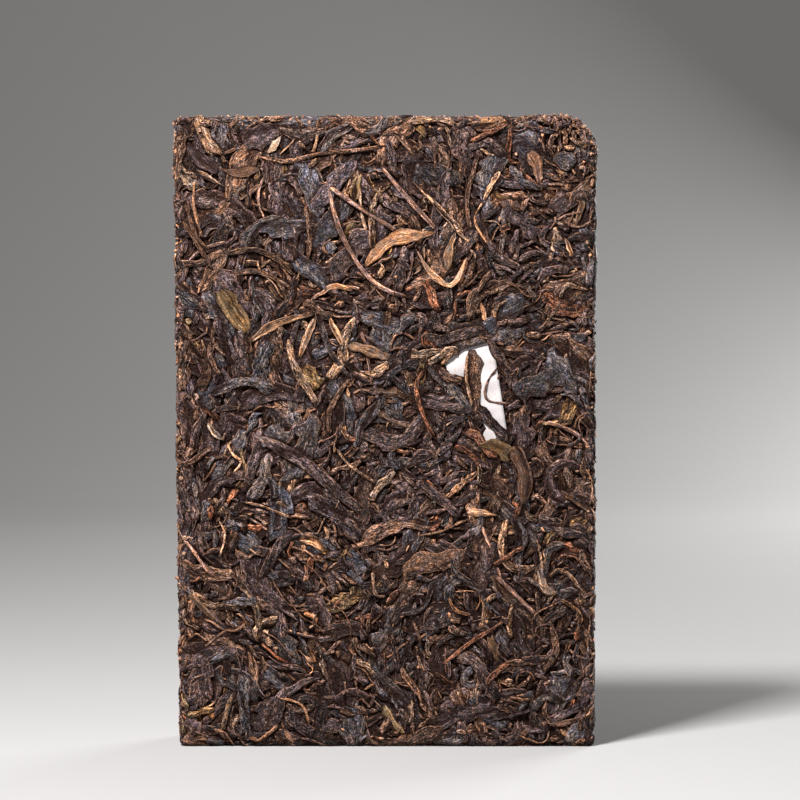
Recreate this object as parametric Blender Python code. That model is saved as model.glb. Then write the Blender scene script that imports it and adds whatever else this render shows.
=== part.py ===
"""A pressed tea brick standing on its short edge, with a blank paper slip pressed into its front.

The brick is one solid out to its uneven outline: a slab from a mould, whose faces are the flattened
tops of leaf clumps, with one corner worn round. +Z is up, the front faces -Y, and the origin is at the
centre of the edge that the brick stands on. Lengths are in metres.
"""

import math

import bmesh
import bpy
import numpy as np
from mathutils import Matrix, Vector

# The slab, as the mould left it.
BRICK_WIDTH = 0.150
BRICK_THICKNESS = 0.032
BRICK_HEIGHT = 0.225
EDGE_RADIUS = 0.003
WORN_CORNER_RADIUS = 0.014
LEFT_EDGE_LEAN = 0.0016

# The clumps of leaf that its faces are made of.
GRID_PITCH = 0.005
CLUMP_LENGTHS = (0.016, 0.034)
CLUMP_WIDTHS = (0.008, 0.014)
CLUMP_TOPS = (-0.0007, 0.0006)
CLUMP_FALL = 0.0011
DEEPEST_DENT = 0.0012
CLUMPS_PER_AREA = 2.6
CLUMP_SEED = 11

# The paper slip, and the shallow bed that holds it.
SLIP_WIDTH = 0.036
SLIP_HEIGHT = 0.056
SLIP_THICKNESS = 0.0004
SLIP_CENTRE = (0.0248, 0.1152)
SLIP_TILT = math.radians(9)
SLIP_TORN_CORNER = 0.004
SLIP_BED_DEPTH = 0.0015
FIT_GAP = 0.0003

LEAF_COLOUR = (0.105, 0.066, 0.052)
PAPER_COLOUR = (0.86, 0.85, 0.82)


def clear_scene():
    for obj in list(bpy.data.objects):
        bpy.data.objects.remove(obj)


def make_material(name, colour, roughness):
    material = bpy.data.materials.new(name)
    material.use_nodes = True
    shader = material.node_tree.nodes["Principled BSDF"]
    shader.inputs["Base Color"].default_value = (*colour, 1)
    shader.inputs["Roughness"].default_value = roughness
    shader.inputs["Metallic"].default_value = 0
    return material


def add_object(name, bm, material):
    mesh = bpy.data.meshes.new(name)
    bm.to_mesh(mesh)
    bm.free()
    obj = bpy.data.objects.new(name, mesh)
    obj.data.materials.append(material)
    bpy.context.scene.collection.objects.link(obj)
    return obj


def cut_places(low, high):
    """Where a side of the slab is divided: twice over each rounded edge, and evenly between."""
    edge = [EDGE_RADIUS / 2, EDGE_RADIUS]
    inner_low, inner_high = low + EDGE_RADIUS, high - EDGE_RADIUS
    spans = max(1, round((inner_high - inner_low) / GRID_PITCH))
    step = (inner_high - inner_low) / spans
    inner = [inner_low + step * k for k in range(1, spans)]
    return [low + e for e in edge] + inner + [high - e for e in edge]


def slab_grid(low, high):
    """A box from low to high, with its faces divided into a grid."""
    bm = bmesh.new()
    bmesh.ops.create_cube(bm, size=1)
    size = high - low
    middle = Matrix.Translation((low + high) / 2)
    bmesh.ops.transform(bm, matrix=middle @ Matrix.Diagonal((*size, 1)), verts=bm.verts)
    for axis in range(3):
        normal = Vector((0, 0, 0))
        normal[axis] = 1
        for place in cut_places(low[axis], high[axis]):
            everything = bm.verts[:] + bm.edges[:] + bm.faces[:]
            bmesh.ops.bisect_plane(bm, geom=everything, plane_co=normal * place, plane_no=normal)
    return bm


def round_edges(bm, low, high):
    """Turns the box's edges and corners into arcs of EDGE_RADIUS, and wears its top corner at +X round.

    In the worn corner each square ring round its centre becomes a circle, so a vertex there is rounded
    on the ring's straight run, at the ring's distance, and then carried round to its own direction.
    """
    margin = Vector((EDGE_RADIUS,) * 3)
    inner_low, inner_high = low + margin, high - margin
    centre = Vector((high.x - WORN_CORNER_RADIUS, 0, high.z - WORN_CORNER_RADIUS))
    for vert in bm.verts:
        place = vert.co.copy()
        reach = Vector((place.x - centre.x, 0, place.z - centre.z))
        worn = reach.x > 0 and reach.z > 0
        if worn:
            place.x = centre.x + max(reach.x, reach.z)
            place.z = centre.z
        inner = Vector(min(max(c, a), b) for c, a, b in zip(place, inner_low, inner_high))
        place = inner + (place - inner).normalized() * EDGE_RADIUS
        if worn:
            carried = reach.normalized() * (place.x - centre.x)
            place = Vector((centre.x + carried.x, place.y, centre.z + carried.z))
        vert.co = place


def lean_left_edge(bm, low, high):
    """Draws the foot of the -X side in a little, so that the slab narrows downwards."""
    for vert in bm.verts:
        leftness = (high.x - vert.co.x) / (high.x - low.x)
        lowness = (high.z - vert.co.z) / (high.z - low.z)
        vert.co.x += LEFT_EDGE_LEAN * leftness * lowness


def scatter_clumps(random, width, height):
    """Leaf clumps over a face of this size: centre, direction, half length, half width and top."""
    mean_area = np.mean(CLUMP_LENGTHS) * np.mean(CLUMP_WIDTHS)
    count = max(6, round(CLUMPS_PER_AREA * width * height / mean_area))
    angle = random.uniform(0, math.pi, count)
    return {
        "centre": random.uniform((0, 0), (width, height), (count, 2)),
        "along": np.stack([np.cos(angle), np.sin(angle)], 1),
        "half_length": random.uniform(*CLUMP_LENGTHS, count) / 2,
        "half_width": random.uniform(*CLUMP_WIDTHS, count) / 2,
        "top": random.uniform(*CLUMP_TOPS, count),
    }


def dent_at(clumps, u, v):
    """How far the surface lies below the mould's wall: the tallest clump there, pressed flat at the wall."""
    away = np.array((u, v)) - clumps["centre"]
    forward = (away * clumps["along"]).sum(1) / clumps["half_length"]
    sideways = (away[:, 0] * clumps["along"][:, 1] - away[:, 1] * clumps["along"][:, 0]) / clumps["half_width"]
    heights = clumps["top"] - CLUMP_FALL * (forward**2 + sideways**2)
    return float(np.clip(heights.max(), -DEEPEST_DENT, 0))


def press_clumps(bm, low, high):
    """Dents every face but the foot. Each vertex blends the three faces' clumps by its normal."""
    random = np.random.default_rng(CLUMP_SEED)
    size = high - low
    fields = {}
    for axis, (u_axis, v_axis) in enumerate([(1, 2), (0, 2), (0, 1)]):
        for side in (-1, 1):
            clumps = scatter_clumps(random, size[u_axis], size[v_axis])
            fields[axis, side] = (clumps, u_axis, v_axis)
    bm.normal_update()
    moves = []
    for vert in bm.verts:
        dent = 0.0
        for axis in range(3):
            side = 1 if vert.normal[axis] > 0 else -1
            clumps, u_axis, v_axis = fields[axis, side]
            at = vert.co - low
            if (axis, side) != (2, -1):
                dent += vert.normal[axis] ** 2 * dent_at(clumps, at[u_axis], at[v_axis])
        moves.append(vert.normal * dent)
    for vert, move in zip(bm.verts, moves):
        vert.co += move


def stand_flat(bm):
    """Keeps the foot that the brick stands on in one plane."""
    for vert in bm.verts:
        if vert.normal.z < -0.99 or vert.co.z < 0:
            vert.co.z = 0.0


def slip_matrix(depth):
    """From a slip's own plane, with its outside towards +Z, to its place below the front face."""
    across, up = SLIP_CENTRE
    place = Matrix.Translation((across, -BRICK_THICKNESS / 2 + depth, up))
    return place @ Matrix.Rotation(math.pi / 2, 4, "X") @ Matrix.Rotation(SLIP_TILT, 4, "Z")


def slip_outline(margin):
    """The slip's outline, grown by margin, with its lower left corner torn off."""
    x, y = SLIP_WIDTH / 2 + margin, SLIP_HEIGHT / 2 + margin
    tear = SLIP_TORN_CORNER
    return [(-x + tear, -y), (x, -y), (x, y), (-x, y), (-x, -y + tear)]


def slip_prism(margin, bottom, top):
    """A prism on the slip's outline, between two heights over its own plane."""
    bm = bmesh.new()
    face = bm.faces.new([bm.verts.new((x, y, bottom)) for x, y in slip_outline(margin)])
    made = bmesh.ops.extrude_face_region(bm, geom=[face])
    raised = [g for g in made["geom"] if isinstance(g, bmesh.types.BMVert)]
    bmesh.ops.translate(bm, verts=raised, vec=(0, 0, top - bottom))
    bmesh.ops.recalc_face_normals(bm, faces=bm.faces)
    bmesh.ops.transform(bm, matrix=slip_matrix(SLIP_BED_DEPTH), verts=bm.verts)
    return bm


def cut_slip_bed(brick, material):
    """Takes the slip's bed out of the brick's front face."""
    over = SLIP_BED_DEPTH + EDGE_RADIUS
    cutter = add_object("slip_bed_cutter", slip_prism(FIT_GAP, 0, over), material)
    cutter.hide_render = True
    cutter.display_type = "WIRE"
    cut = brick.modifiers.new("slip_bed", "BOOLEAN")
    cut.operation = "DIFFERENCE"
    cut.solver = "EXACT"
    cut.object = cutter


def make_brick(material):
    low = Vector((-BRICK_WIDTH / 2, -BRICK_THICKNESS / 2, 0))
    high = Vector((BRICK_WIDTH / 2, BRICK_THICKNESS / 2, BRICK_HEIGHT))
    bm = slab_grid(low, high)
    round_edges(bm, low, high)
    lean_left_edge(bm, low, high)
    press_clumps(bm, low, high)
    stand_flat(bm)
    bmesh.ops.recalc_face_normals(bm, faces=bm.faces)
    brick = add_object("tea_block", bm, material)
    brick.data.shade_smooth()
    cut_slip_bed(brick, material)
    return brick


def make_slip(material):
    prism = slip_prism(0, FIT_GAP, FIT_GAP + SLIP_THICKNESS)
    return add_object("paper_slip", prism, material)


def main():
    clear_scene()
    make_brick(make_material("pressed_leaf", LEAF_COLOUR, 0.6))
    make_slip(make_material("slip_paper", PAPER_COLOUR, 0.8))


main()
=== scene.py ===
"""A pressed tea brick: some thousands of leaves laid over a dark core and pressed flat by a mould.

The leaves are laid one by one on flat maps, one of the front, one of the back and one of the band that
runs round the edge. A map is in millimetres and keeps how high the leaves on it reach, so that each leaf
drapes over what lies there already. Then the map is pressed and folded round the brick.
"""

import math
from dataclasses import dataclass
from functools import lru_cache, partial

import bmesh
import bpy
import numpy as np
from bpy.props import FloatProperty, FloatVectorProperty, IntProperty, PointerProperty
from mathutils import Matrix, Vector


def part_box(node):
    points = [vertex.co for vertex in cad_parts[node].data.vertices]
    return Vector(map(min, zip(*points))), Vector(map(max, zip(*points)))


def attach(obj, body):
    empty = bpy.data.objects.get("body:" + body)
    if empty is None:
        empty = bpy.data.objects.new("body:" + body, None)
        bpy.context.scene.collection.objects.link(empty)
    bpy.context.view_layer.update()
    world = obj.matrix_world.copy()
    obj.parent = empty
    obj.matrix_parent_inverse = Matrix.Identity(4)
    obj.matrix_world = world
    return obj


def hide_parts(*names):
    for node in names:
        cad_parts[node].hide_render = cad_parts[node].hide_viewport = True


bl_info = {
    "name": "Pressed tea brick",
    "version": (1, 0, 0),
    "blender": (4, 5, 0),
    "location": "3D View > Sidebar > Tea brick",
    "description": "Lays tea leaves over a core, presses them flat and tucks a blank slip in among them",
    "category": "Object",
}

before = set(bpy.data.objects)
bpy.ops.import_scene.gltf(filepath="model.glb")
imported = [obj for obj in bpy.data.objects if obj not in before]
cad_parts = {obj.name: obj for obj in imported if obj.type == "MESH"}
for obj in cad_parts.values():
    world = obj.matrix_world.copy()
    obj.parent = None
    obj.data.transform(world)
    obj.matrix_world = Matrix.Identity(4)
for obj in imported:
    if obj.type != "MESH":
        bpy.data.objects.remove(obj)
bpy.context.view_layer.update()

MM = 0.001
BLOCK_LOW, BLOCK_HIGH = (np.array(corner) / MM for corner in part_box("tea_block"))
SLIP_LOW, SLIP_HIGH = (np.array(corner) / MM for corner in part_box("paper_slip"))
HALF_WIDTH = (BLOCK_HIGH[0] - BLOCK_LOW[0]) / 2
HALF_DEPTH = (BLOCK_HIGH[1] - BLOCK_LOW[1]) / 2
HEIGHT = BLOCK_HIGH[2]

# What the operators have laid, for those that come after: a map of each side, by name.
LAID = {}


# ---------------------------------------------------------------- settings


def length_setting(name, description, default):
    return FloatProperty(name=name, description=description, default=default * MM, min=0, unit="LENGTH")


def colour_setting(name, description, default):
    return FloatVectorProperty(
        name=name, description=description, default=default, size=3, min=0, max=1, subtype="COLOR"
    )


class BrickSizes(bpy.types.PropertyGroup):
    """Sizes of the pressed brick and of the leaves' layer on it."""

    edge: length_setting("Edge radius", "Rounding of the brick's edges", 3)
    worn: length_setting("Worn corner", "Radius of the corner that has worn round", 14)
    lean: length_setting("Left edge lean", "How far the left side draws in at the foot", 1.6)
    core_depth: length_setting("Core depth", "How far the core lies below the leaves' tops", 1.9)
    slip_width: length_setting("Slip width", "Width of the paper slip", 36)
    slip_height: length_setting("Slip height", "Height of the paper slip", 56)
    slip_tilt: FloatProperty(
        name="Slip tilt",
        description="How far the slip is turned, seen from the front",
        default=math.radians(9),
        subtype="ANGLE",
    )
    plenty: FloatProperty(name="Leaf amount", description="Leaves laid, as a share of the usual", default=1)
    seed: IntProperty(name="Seed", description="Another number lays other leaves", default=7)


class LeafColours(bpy.types.PropertyGroup):
    """Colours of the leaves, the core and the paper."""

    dark: colour_setting("Dark leaf", "Most of the pressed leaves", (0.062, 0.037, 0.036))
    slate: colour_setting("Slate leaf", "Dark leaves with a grey bloom", (0.063, 0.051, 0.054))
    brown: colour_setting("Brown leaf", "Middle brown leaves", (0.135, 0.068, 0.044))
    tan: colour_setting("Tan leaf", "Light brown leaves", (0.280, 0.158, 0.100))
    golden: colour_setting("Golden tip", "Golden buds", (0.400, 0.190, 0.100))
    pale: colour_setting("Pale tip", "The palest buds and slivers", (0.520, 0.275, 0.162))
    pink: colour_setting("Stem", "Pinkish stems", (0.300, 0.160, 0.120))
    olive: colour_setting("Olive leaf", "Olive leaves", (0.215, 0.118, 0.052))
    red: colour_setting("Red leaf", "Red brown leaves and stems", (0.200, 0.070, 0.036))
    # painted highlight on the crests and glints of a leaf, and the own colour of a few chosen pale leaves
    crest: colour_setting("Crest", "The light crests of a leaf", (0.580, 0.410, 0.320))
    rust: colour_setting("Rust", "The light margins and flecks of a leaf", (0.470, 0.215, 0.115))
    # painted shade: the colour that the gaps between leaves, their low folds and their undersides darken to
    deep: colour_setting("Deep", "What the gaps between leaves darken to", (0.012, 0.003, 0.001))
    # partly the mass's own colour and partly painted shade: darker than any leaf, as the deep gaps are
    core: colour_setting("Core", "The pressed mass below the leaves", (0.026, 0.010, 0.008))
    paper: colour_setting("Paper", "The blank slip", (0.45, 0.42, 0.415))


class StageLook(bpy.types.PropertyGroup):
    """Floor, lights and camera."""

    floor: colour_setting("Floor", "Colour of the floor and the backdrop", (0.27, 0.265, 0.26))
    key: FloatProperty(name="Key light", description="Power of the main light", default=26, unit="POWER")
    fill: FloatProperty(name="Fill light", description="Power of the fill light", default=0.7, unit="POWER")
    back: FloatProperty(name="Back light", description="Power of the light behind", default=24, unit="POWER")
    air: FloatProperty(name="Room light", description="Strength of the light from all round", default=0.02)
    distance: length_setting("Camera distance", "From the camera to the brick's front", 1250)


# ---------------------------------------------------------------- kinds of leaf


@dataclass(frozen=True)
class Kind:
    """How the leaves of one kind are shaped and lie. Sizes are in millimetres."""

    length: tuple
    width: tuple
    thickness: tuple
    stations: int  # rings along a leaf
    lanes: int  # points across its upper side
    colours: dict  # how often each colour comes
    bend: float = 0.6  # how far it turns from end to end, in radians
    wander: float = 0.2  # how far it sways on its way, in radians
    hooked: float = 0.1  # the share with a hook at one end
    blunt: float = 2.4  # 2 for pointed ends, more for blunt ones
    ragged: float = 0.16  # how uneven its two margins are, as a share of its width
    flatness: float = 3  # 2 for a round back, more for a flat one
    slant: float = 0.3  # how far its ends are torn aslant, as a share of its width
    fold: float = 0.7  # depth of the folds that run along it, as a share of its thickness
    creases: float = 0.6  # how close together the folds are, to each lane
    crumple: float = 0.22  # how uneven its skin is, as a share of its folds
    twist: float = 0.5  # how far the folds wind round it
    give: float = 0.5  # 1 follows what lies under it across its width, 0 stays level
    stiff: int = 2  # how much it evens out what lies under it along its length
    tuck: float = 0.7  # how far its ends are pushed in
    weave: float = 0.5  # how far it dips under its neighbours on its way


KINDS = {
    "flat": Kind(
        length=(14, 27), width=(5, 10), thickness=(0.35, 0.65), stations=12, lanes=9,
        colours={"dark": 6, "slate": 4, "brown": 1.4}, bend=0.4, wander=0.1, hooked=0,
        blunt=3.4, ragged=0.16, flatness=7, slant=0.6, fold=0.6, creases=0.5, crumple=0.15, twist=0.15,
        give=0.6, stiff=2, tuck=0.8,
    ),
    "roll": Kind(
        length=(18, 34), width=(3.2, 6.2), thickness=(0.8, 1.3), stations=16, lanes=9,
        colours={"dark": 8, "slate": 4, "brown": 5, "tan": 0.8, "red": 0.3, "olive": 0.4}, bend=0.8,
        wander=0.28, hooked=0.02, blunt=3.2, fold=0.75, creases=0.4, stiff=3, tuck=0.9, weave=0.8,
    ),
    "strip": Kind(
        length=(10, 20), width=(1.8, 4.0), thickness=(0.6, 1.1), stations=11, lanes=7,
        colours={"dark": 8, "slate": 3, "brown": 5, "tan": 1.8, "red": 0.5, "olive": 0.3}, bend=0.8,
        wander=0.22, hooked=0.05, blunt=3.2, fold=0.7, creases=0.4, tuck=0.8, weave=0.6,
    ),
    "bit": Kind(
        length=(3, 11), width=(0.8, 2.7), thickness=(0.4, 0.9), stations=6, lanes=5,
        colours={"dark": 5, "slate": 2, "brown": 5, "tan": 2.0, "golden": 0.2, "red": 0.6, "olive": 0.3},
        bend=0.4, blunt=4, ragged=0.32, flatness=4, slant=0.7, weave=0.3, stiff=1,
    ),
    "leaf": Kind(
        length=(9, 20), width=(2.2, 4.4), thickness=(0.35, 0.55), stations=14, lanes=7,
        colours={"tan": 5, "golden": 0.8, "olive": 1, "pale": 0.2}, bend=0.8, blunt=1.9, ragged=0.10,
        flatness=6, fold=0.5, creases=0.6, crumple=0.12, twist=0.1, give=0.6, tuck=0.8, weave=0.3,
    ),
    "strand": Kind(
        length=(6, 22), width=(0.40, 0.90), thickness=(0.4, 0.7), stations=12, lanes=4,
        colours={"dark": 4, "brown": 5, "tan": 2.4, "golden": 0.3}, bend=0.8, wander=0.35, hooked=0.08,
        blunt=6, ragged=0.1, fold=0.3, give=0.3, weave=0.8,
    ),
    "stem": Kind(
        length=(14, 34), width=(0.9, 1.4), thickness=(0.8, 1.2), stations=14, lanes=5,
        colours={"pink": 3, "brown": 2, "red": 1.2, "tan": 2}, bend=0.35, wander=0.1, hooked=0, blunt=12,
        ragged=0.06, flatness=2.2, slant=0.1, fold=0.3, twist=0.3, give=0.0, stiff=6, tuck=1.0,
    ),
}

# Leaves to each square millimetre, layer by layer from the core up, and how full the back is beside the
# front.
BOTTOM_LAYERS = {"flat": 0.003, "roll": 0.007, "strip": 0.008, "bit": 0.006}
MIDDLE_LAYERS = {
    "flat": 0.0040, "roll": 0.006, "strip": 0.007, "bit": 0.013, "leaf": 0.0008, "strand": 0.0015,
    "stem": 0.0004,
}
TOP_LAYERS = {
    "flat": 0.0046, "roll": 0.0038, "strip": 0.007, "bit": 0.020, "leaf": 0.0009, "strand": 0.0045,
    "stem": 0.0004,
}
SLIP_LAYERS = {"flat": 0.006, "roll": 0.010, "strip": 0.026, "bit": 0.045, "strand": 0.008}
BAND_LAYERS = {
    "flat": 0.001, "roll": 0.004, "strip": 0.008, "bit": 0.022, "strand": 0.003, "stem": 0.0003,
}
LAST_BITS = {"bit": 0.006, "strand": 0.0015}
CORNER_BITS = {"bit": 0.09, "strand": 0.01}
BACK_SHARE = 0.88

# Crumbs to each square millimetre: a few all over, and more where the leaves are loose.
FACE_CRUMBS, BAND_CRUMBS, LOOSE_CRUMBS = 0.012, 0.05, 0.5

# A leaf is kept if at least this many square millimetres of it show.
LEAST_SHOWING = {"front": 0.6, "back": 1.2, "band": 1.0}
HIDDEN_DEPTH = 0.12  # a point this far below the top of what is laid is hidden

# The leaves that catch the eye on the front: kind, colour, width and a few points along each, across from
# the brick's middle and up from its foot.
CHOSEN = [
    ("flat", "slate", 9.0, [(-44, 113), (-36, 108)]),
    ("flat", "slate", 10.0, [(57, 138), (69, 129)]),
    ("flat", "slate", 6.5, [(60, 211), (68, 208)]),
    ("flat", "dark", 8.5, [(48, 118), (50, 106)]),
    ("flat", "slate", 8.5, [(39, 212), (36, 199)]),
    ("flat", "slate", 8.0, [(-42, 187), (-28, 184)]),
    ("flat", "dark", 10.0, [(-41, 18), (-44, 5)]),
    ("flat", "dark", 8.0, [(-51, 215), (-38, 221)]),
    ("flat", "olive", 6.0, [(-30, 136), (-23, 129)]),
    ("leaf", "olive", 7.5, [(-59, 164), (-55, 157), (-49, 148)]),
    ("leaf", "olive", 5.5, [(33, 108), (40, 108), (46, 103)]),
    ("leaf", "dark", 5.0, [(-70, 215), (-66, 210), (-59, 205)]),
    ("leaf", "brown", 3.8, [(-60, 207), (-52, 205), (-44, 207)]),
    ("leaf", "brown", 4.4, [(51, 213), (54, 208), (55, 201)]),
    ("leaf", "brown", 5.6, [(46, 108), (50, 97), (49, 86)]),
    ("leaf", "tan", 4.2, [(-14, 144), (-7, 142), (2, 139)]),
    ("strip", "slate", 3.6, [(-65, 126), (-50, 131), (-39, 128)]),
    ("strip", "slate", 2.4, [(-25, 157), (-20, 142), (-13, 132)]),
    ("strip", "slate", 3.0, [(45, 208), (49, 202), (56, 199)]),
    ("strip", "dark", 4.4, [(-48, 112), (-31, 103), (-20, 94), (-4, 81)]),
    ("strip", "dark", 4.2, [(-33, 78), (-40, 70), (-46, 59)]),
    ("strip", "dark", 4.0, [(12, 95), (19, 89), (27, 83)]),
    ("strip", "dark", 3.2, [(33, 193), (36, 180), (41, 175), (50, 170)]),
    ("strip", "brown", 2.6, [(-74, 173), (-66, 173), (-57, 178)]),
    ("strip", "tan", 1.8, [(-58, 176), (-47, 178), (-38, 174), (-32, 168)]),
    ("strip", "brown", 1.7, [(33.5, 212.5), (30, 200), (29.5, 190), (31, 184)]),
    ("strip", "tan", 2.4, [(-2, 200), (-5, 190), (-4, 176)]),
    ("strip", "brown", 2.2, [(-68, 178), (-67, 186), (-69, 197)]),
    ("strip", "brown", 1.9, [(-28, 195), (-27, 182), (-28, 173)]),
    ("strip", "brown", 1.8, [(-56, 169), (-45, 170), (-32, 163)]),
    ("strip", "brown", 2.0, [(-13, 132), (-20, 121), (-20, 111)]),
    ("strip", "brown", 2.2, [(-2, 218), (4, 219), (11, 210)]),
    ("strip", "brown", 2.4, [(59, 44), (61, 35), (57, 26)]),
    ("strip", "brown", 1.8, [(58, 17), (57, 12), (61, 8), (72, 11)]),
    ("strip", "olive", 2.0, [(-73, 11), (-68, 12), (-62, 14)]),
    ("strip", "tan", 3.0, [(-35, 146), (-32, 135), (-24, 122)]),
    ("strip", "tan", 2.0, [(9, 223), (19, 224), (27, 221)]),
    ("strip", "tan", 2.0, [(10, 202), (18, 194), (26, 185), (31, 179)]),
    ("strip", "red", 1.8, [(14.5, 136), (11, 129), (13.5, 118), (18, 109.5)]),
    ("strip", "tan", 1.7, [(62, 160), (65, 165), (73, 163)]),
    ("strip", "tan", 1.6, [(58, 61), (64, 63), (72, 54)]),
    ("strip", "tan", 1.6, [(-56, 19), (-58, 12), (-60, 5)]),
    ("strip", "tan", 1.5, [(-73, 50), (-72, 45), (-67, 42)]),
    ("strip", "red", 2.0, [(45, 223), (44, 210), (49, 209)]),
    ("strip", "red", 1.8, [(30, 216), (38, 220), (44, 223)]),
    ("strip", "red", 1.6, [(38, 65), (43, 68), (50, 72)]),
    ("strip", "red", 1.6, [(19, 29), (31, 38), (44, 46)]),
    ("strip", "golden", 2.0, [(21, 89), (27, 94), (33, 99)]),
    ("strip", "golden", 1.6, [(-51, 4), (-46, 2.5), (-39, 8)]),
    ("strip", "golden", 1.5, [(62, 53), (66, 51), (70, 47), (69, 43)]),
    ("strip", "pale", 1.8, [(41, 206), (38, 201), (35, 195)]),
    ("strand", "golden", 0.9, [(35, 195), (32, 188), (37, 179)]),
    ("strand", "golden", 1.2, [(22, 54), (25, 49), (31, 47)]),
    ("strand", "golden", 0.9, [(-40, 18), (-31, 15), (-28, 8)]),
    ("strand", "golden", 0.9, [(-68, 203), (-68, 192), (-65, 181)]),
    ("strand", "tan", 1.1, [(-18, 107), (-13, 101), (-3, 94)]),
    ("strand", "brown", 1.5, [(-45, 211), (-35, 209), (-23, 212), (-10, 213), (2, 215)]),
    ("strand", "brown", 1.4, [(-62, 176), (-68, 184), (-71, 196)]),
    ("strand", "brown", 1.4, [(-61, 170), (-66, 178), (-72, 188)]),
    ("strand", "tan", 1.0, [(-52, 88), (-44, 86), (-34, 82)]),
    ("strand", "tan", 1.1, [(-5, 63), (-4, 55), (0, 54)]),
    ("strand", "pale", 0.9, [(-60, 81), (-58, 76), (-60, 68)]),
    ("strand", "pale", 1.0, [(-57, 109), (-55, 105), (-52, 102), (-55, 98)]),
    ("strand", "brown", 1.1, [(-64, 218), (-63, 214), (-58, 212), (-52, 214)]),
    ("leaf", "golden", 5.0, [(-8, 171), (2, 181), (18, 184)]),
    ("leaf", "pale", 3.0, [(-49, 145), (-38, 152), (-25, 155)]),
    ("leaf", "pale", 2.7, [(-25, 154), (-28, 147), (-31, 139)]),
    ("leaf", "tan", 3.4, [(25, 184), (23, 178), (22, 170)]),
    ("leaf", "pale", 2.1, [(11, 178), (15, 171), (19, 167), (23, 165), (26, 168), (29, 175)]),
    ("leaf", "crest", 2.6, [(-42, 212), (-39, 215), (-37, 218)]),
    ("leaf", "pale", 2.2, [(-20, 154), (-18, 149), (-15, 143)]),
    ("leaf", "pale", 3.0, [(29, 84), (34, 84), (40, 83)]),
    ("leaf", "pale", 1.8, [(64, 182), (67, 175)]),
    ("leaf", "crest", 2.2, [(-64, 116), (-61, 112), (-58, 110)]),
    ("leaf", "golden", 2.0, [(34, 159), (36, 152)]),
    ("leaf", "tan", 1.9, [(-67, 206), (-62, 203), (-57, 200)]),
    ("stem", "pink", 1.7, [(-21, 202), (-15, 182), (-4, 166), (10, 160)]),
    ("stem", "pink", 1.5, [(-21, 201), (-8, 192), (5, 184)]),
    ("stem", "pink", 1.7, [(-2, 208), (9, 195), (19, 184)]),
    ("stem", "pink", 1.6, [(39, 62), (46, 55), (54, 47)]),
    ("stem", "brown", 1.6, [(62, 92), (68, 88), (74, 84)]),
    ("stem", "red", 2.2, [(68.5, 41.5), (69.0, 38)]),
]

# What lies over the slip, and the places where the slip shows between these leaves.
SLIP_COVERS = [
    ("strip", "slate", 4.6, [(15, 138), (23, 129), (31, 120)]),
    ("strip", "dark", 3.6, [(19, 144.5), (28, 148), (36, 149)]),
    ("strip", "brown", 3.4, [(19, 136), (23, 132), (29, 131)]),
    ("strip", "dark", 3.6, [(36, 147), (41.5, 138), (47, 128)]),
    ("strip", "dark", 4.0, [(31, 124), (37.5, 117), (44.5, 109.5)]),
    ("flat", "brown", 6.0, [(32.5, 142), (31, 131), (31.7, 119)]),
    ("strand", "tan", 1.2, [(29.4, 141), (28.8, 133), (31, 121)]),
    ("strand", "dark", 0.9, [(40, 136), (36.5, 131), (35.5, 126), (38, 123.5), (45, 123)]),
]
SLIP_SHOWS = [
    [
        (20.8, 137), (35, 144.5), (40, 135.5), (41.5, 130.5), (42.5, 122.5), (43, 113), (38, 117),
        (33.5, 121.5), (33, 127), (29, 131), (28, 133), (22, 132),
    ],
    [(35, 114.5), (39.5, 109.5), (35.5, 110.5)],
    [(17, 141), (18.8, 139), (17.8, 137.6)],
    [(19, 94), (21, 93.5), (19.5, 92.5)],
    [(33, 95.3), (34.3, 94), (33.3, 93.3)],
]
AROUND_SLIP = (0, 82), (50, 148)
SLIP_LEAVES = ["strip"] * 50 + ["bit"] * 250  # laid one by one where the slip is still bare


# ---------------------------------------------------------------- maps


CELL = 0.25  # a map's cell in millimetres
POOL = 4  # cells along each side of the coarse cells that a leaf rests on
EMPTY = -1  # the owner of a cell that no leaf reaches
PAPER = -2  # the owner of a cell where the slip lies on top
TINY = 1e-9


def lane_places(lanes):
    """Places across a leaf from -1 to 1, closer together at its margins."""
    return np.sin(np.linspace(-math.pi / 2, math.pi / 2, lanes))


def unit(vectors):
    """Vectors along the last axis, each made one long."""
    return vectors / np.maximum(np.linalg.norm(vectors, axis=-1, keepdims=True), TINY)


def cuts(size, pitch, multiple):
    """Places along a size, at most a pitch apart. The multiple makes many sizes share a number."""
    return multiple * math.ceil(size / (multiple * pitch)) + 1


@lru_cache(maxsize=None)
def spread(given, wanted):
    """A matrix that turns values at given places along a line into values at wanted places."""
    where = np.linspace(0, given - 1, wanted)
    return np.maximum(0, 1 - np.abs(where[:, None] - np.arange(given)[None, :]))


@lru_cache(maxsize=None)
def evened(stations, passes):
    """A matrix that evens out values along a leaf, more with each pass."""
    once = np.eye(stations) * 0.5
    for k in range(stations):
        once[k, max(k - 1, 0)] += 0.25
        once[k, min(k + 1, stations - 1)] += 0.25
    return np.linalg.matrix_power(once, passes)


def blurred(grid, radius):
    """The grid evened out over a radius in cells, with its borders kept level."""
    pad = int(radius * 3)
    padded = np.pad(grid, pad, mode="edge")
    rows = np.fft.fftfreq(padded.shape[0])[:, None]
    columns = np.fft.rfftfreq(padded.shape[1])[None, :]
    soften = np.exp(-2 * (math.pi * radius) ** 2 * (rows**2 + columns**2))
    even = np.fft.irfft2(np.fft.rfft2(padded) * soften, padded.shape)
    return even[pad : pad + grid.shape[0], pad : pad + grid.shape[1]]


def inside_outline(outline, u, v):
    """Which of the places u, v lie inside an outline."""
    inside = np.zeros(np.shape(u), bool)
    for (u0, v0), (u1, v1) in zip(outline, outline[1:] + outline[:1]):
        if v0 != v1:
            inside ^= ((v0 > v) != (v1 > v)) & (u < u0 + (u1 - u0) * (v - v0) / (v1 - v0))
    return inside


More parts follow.
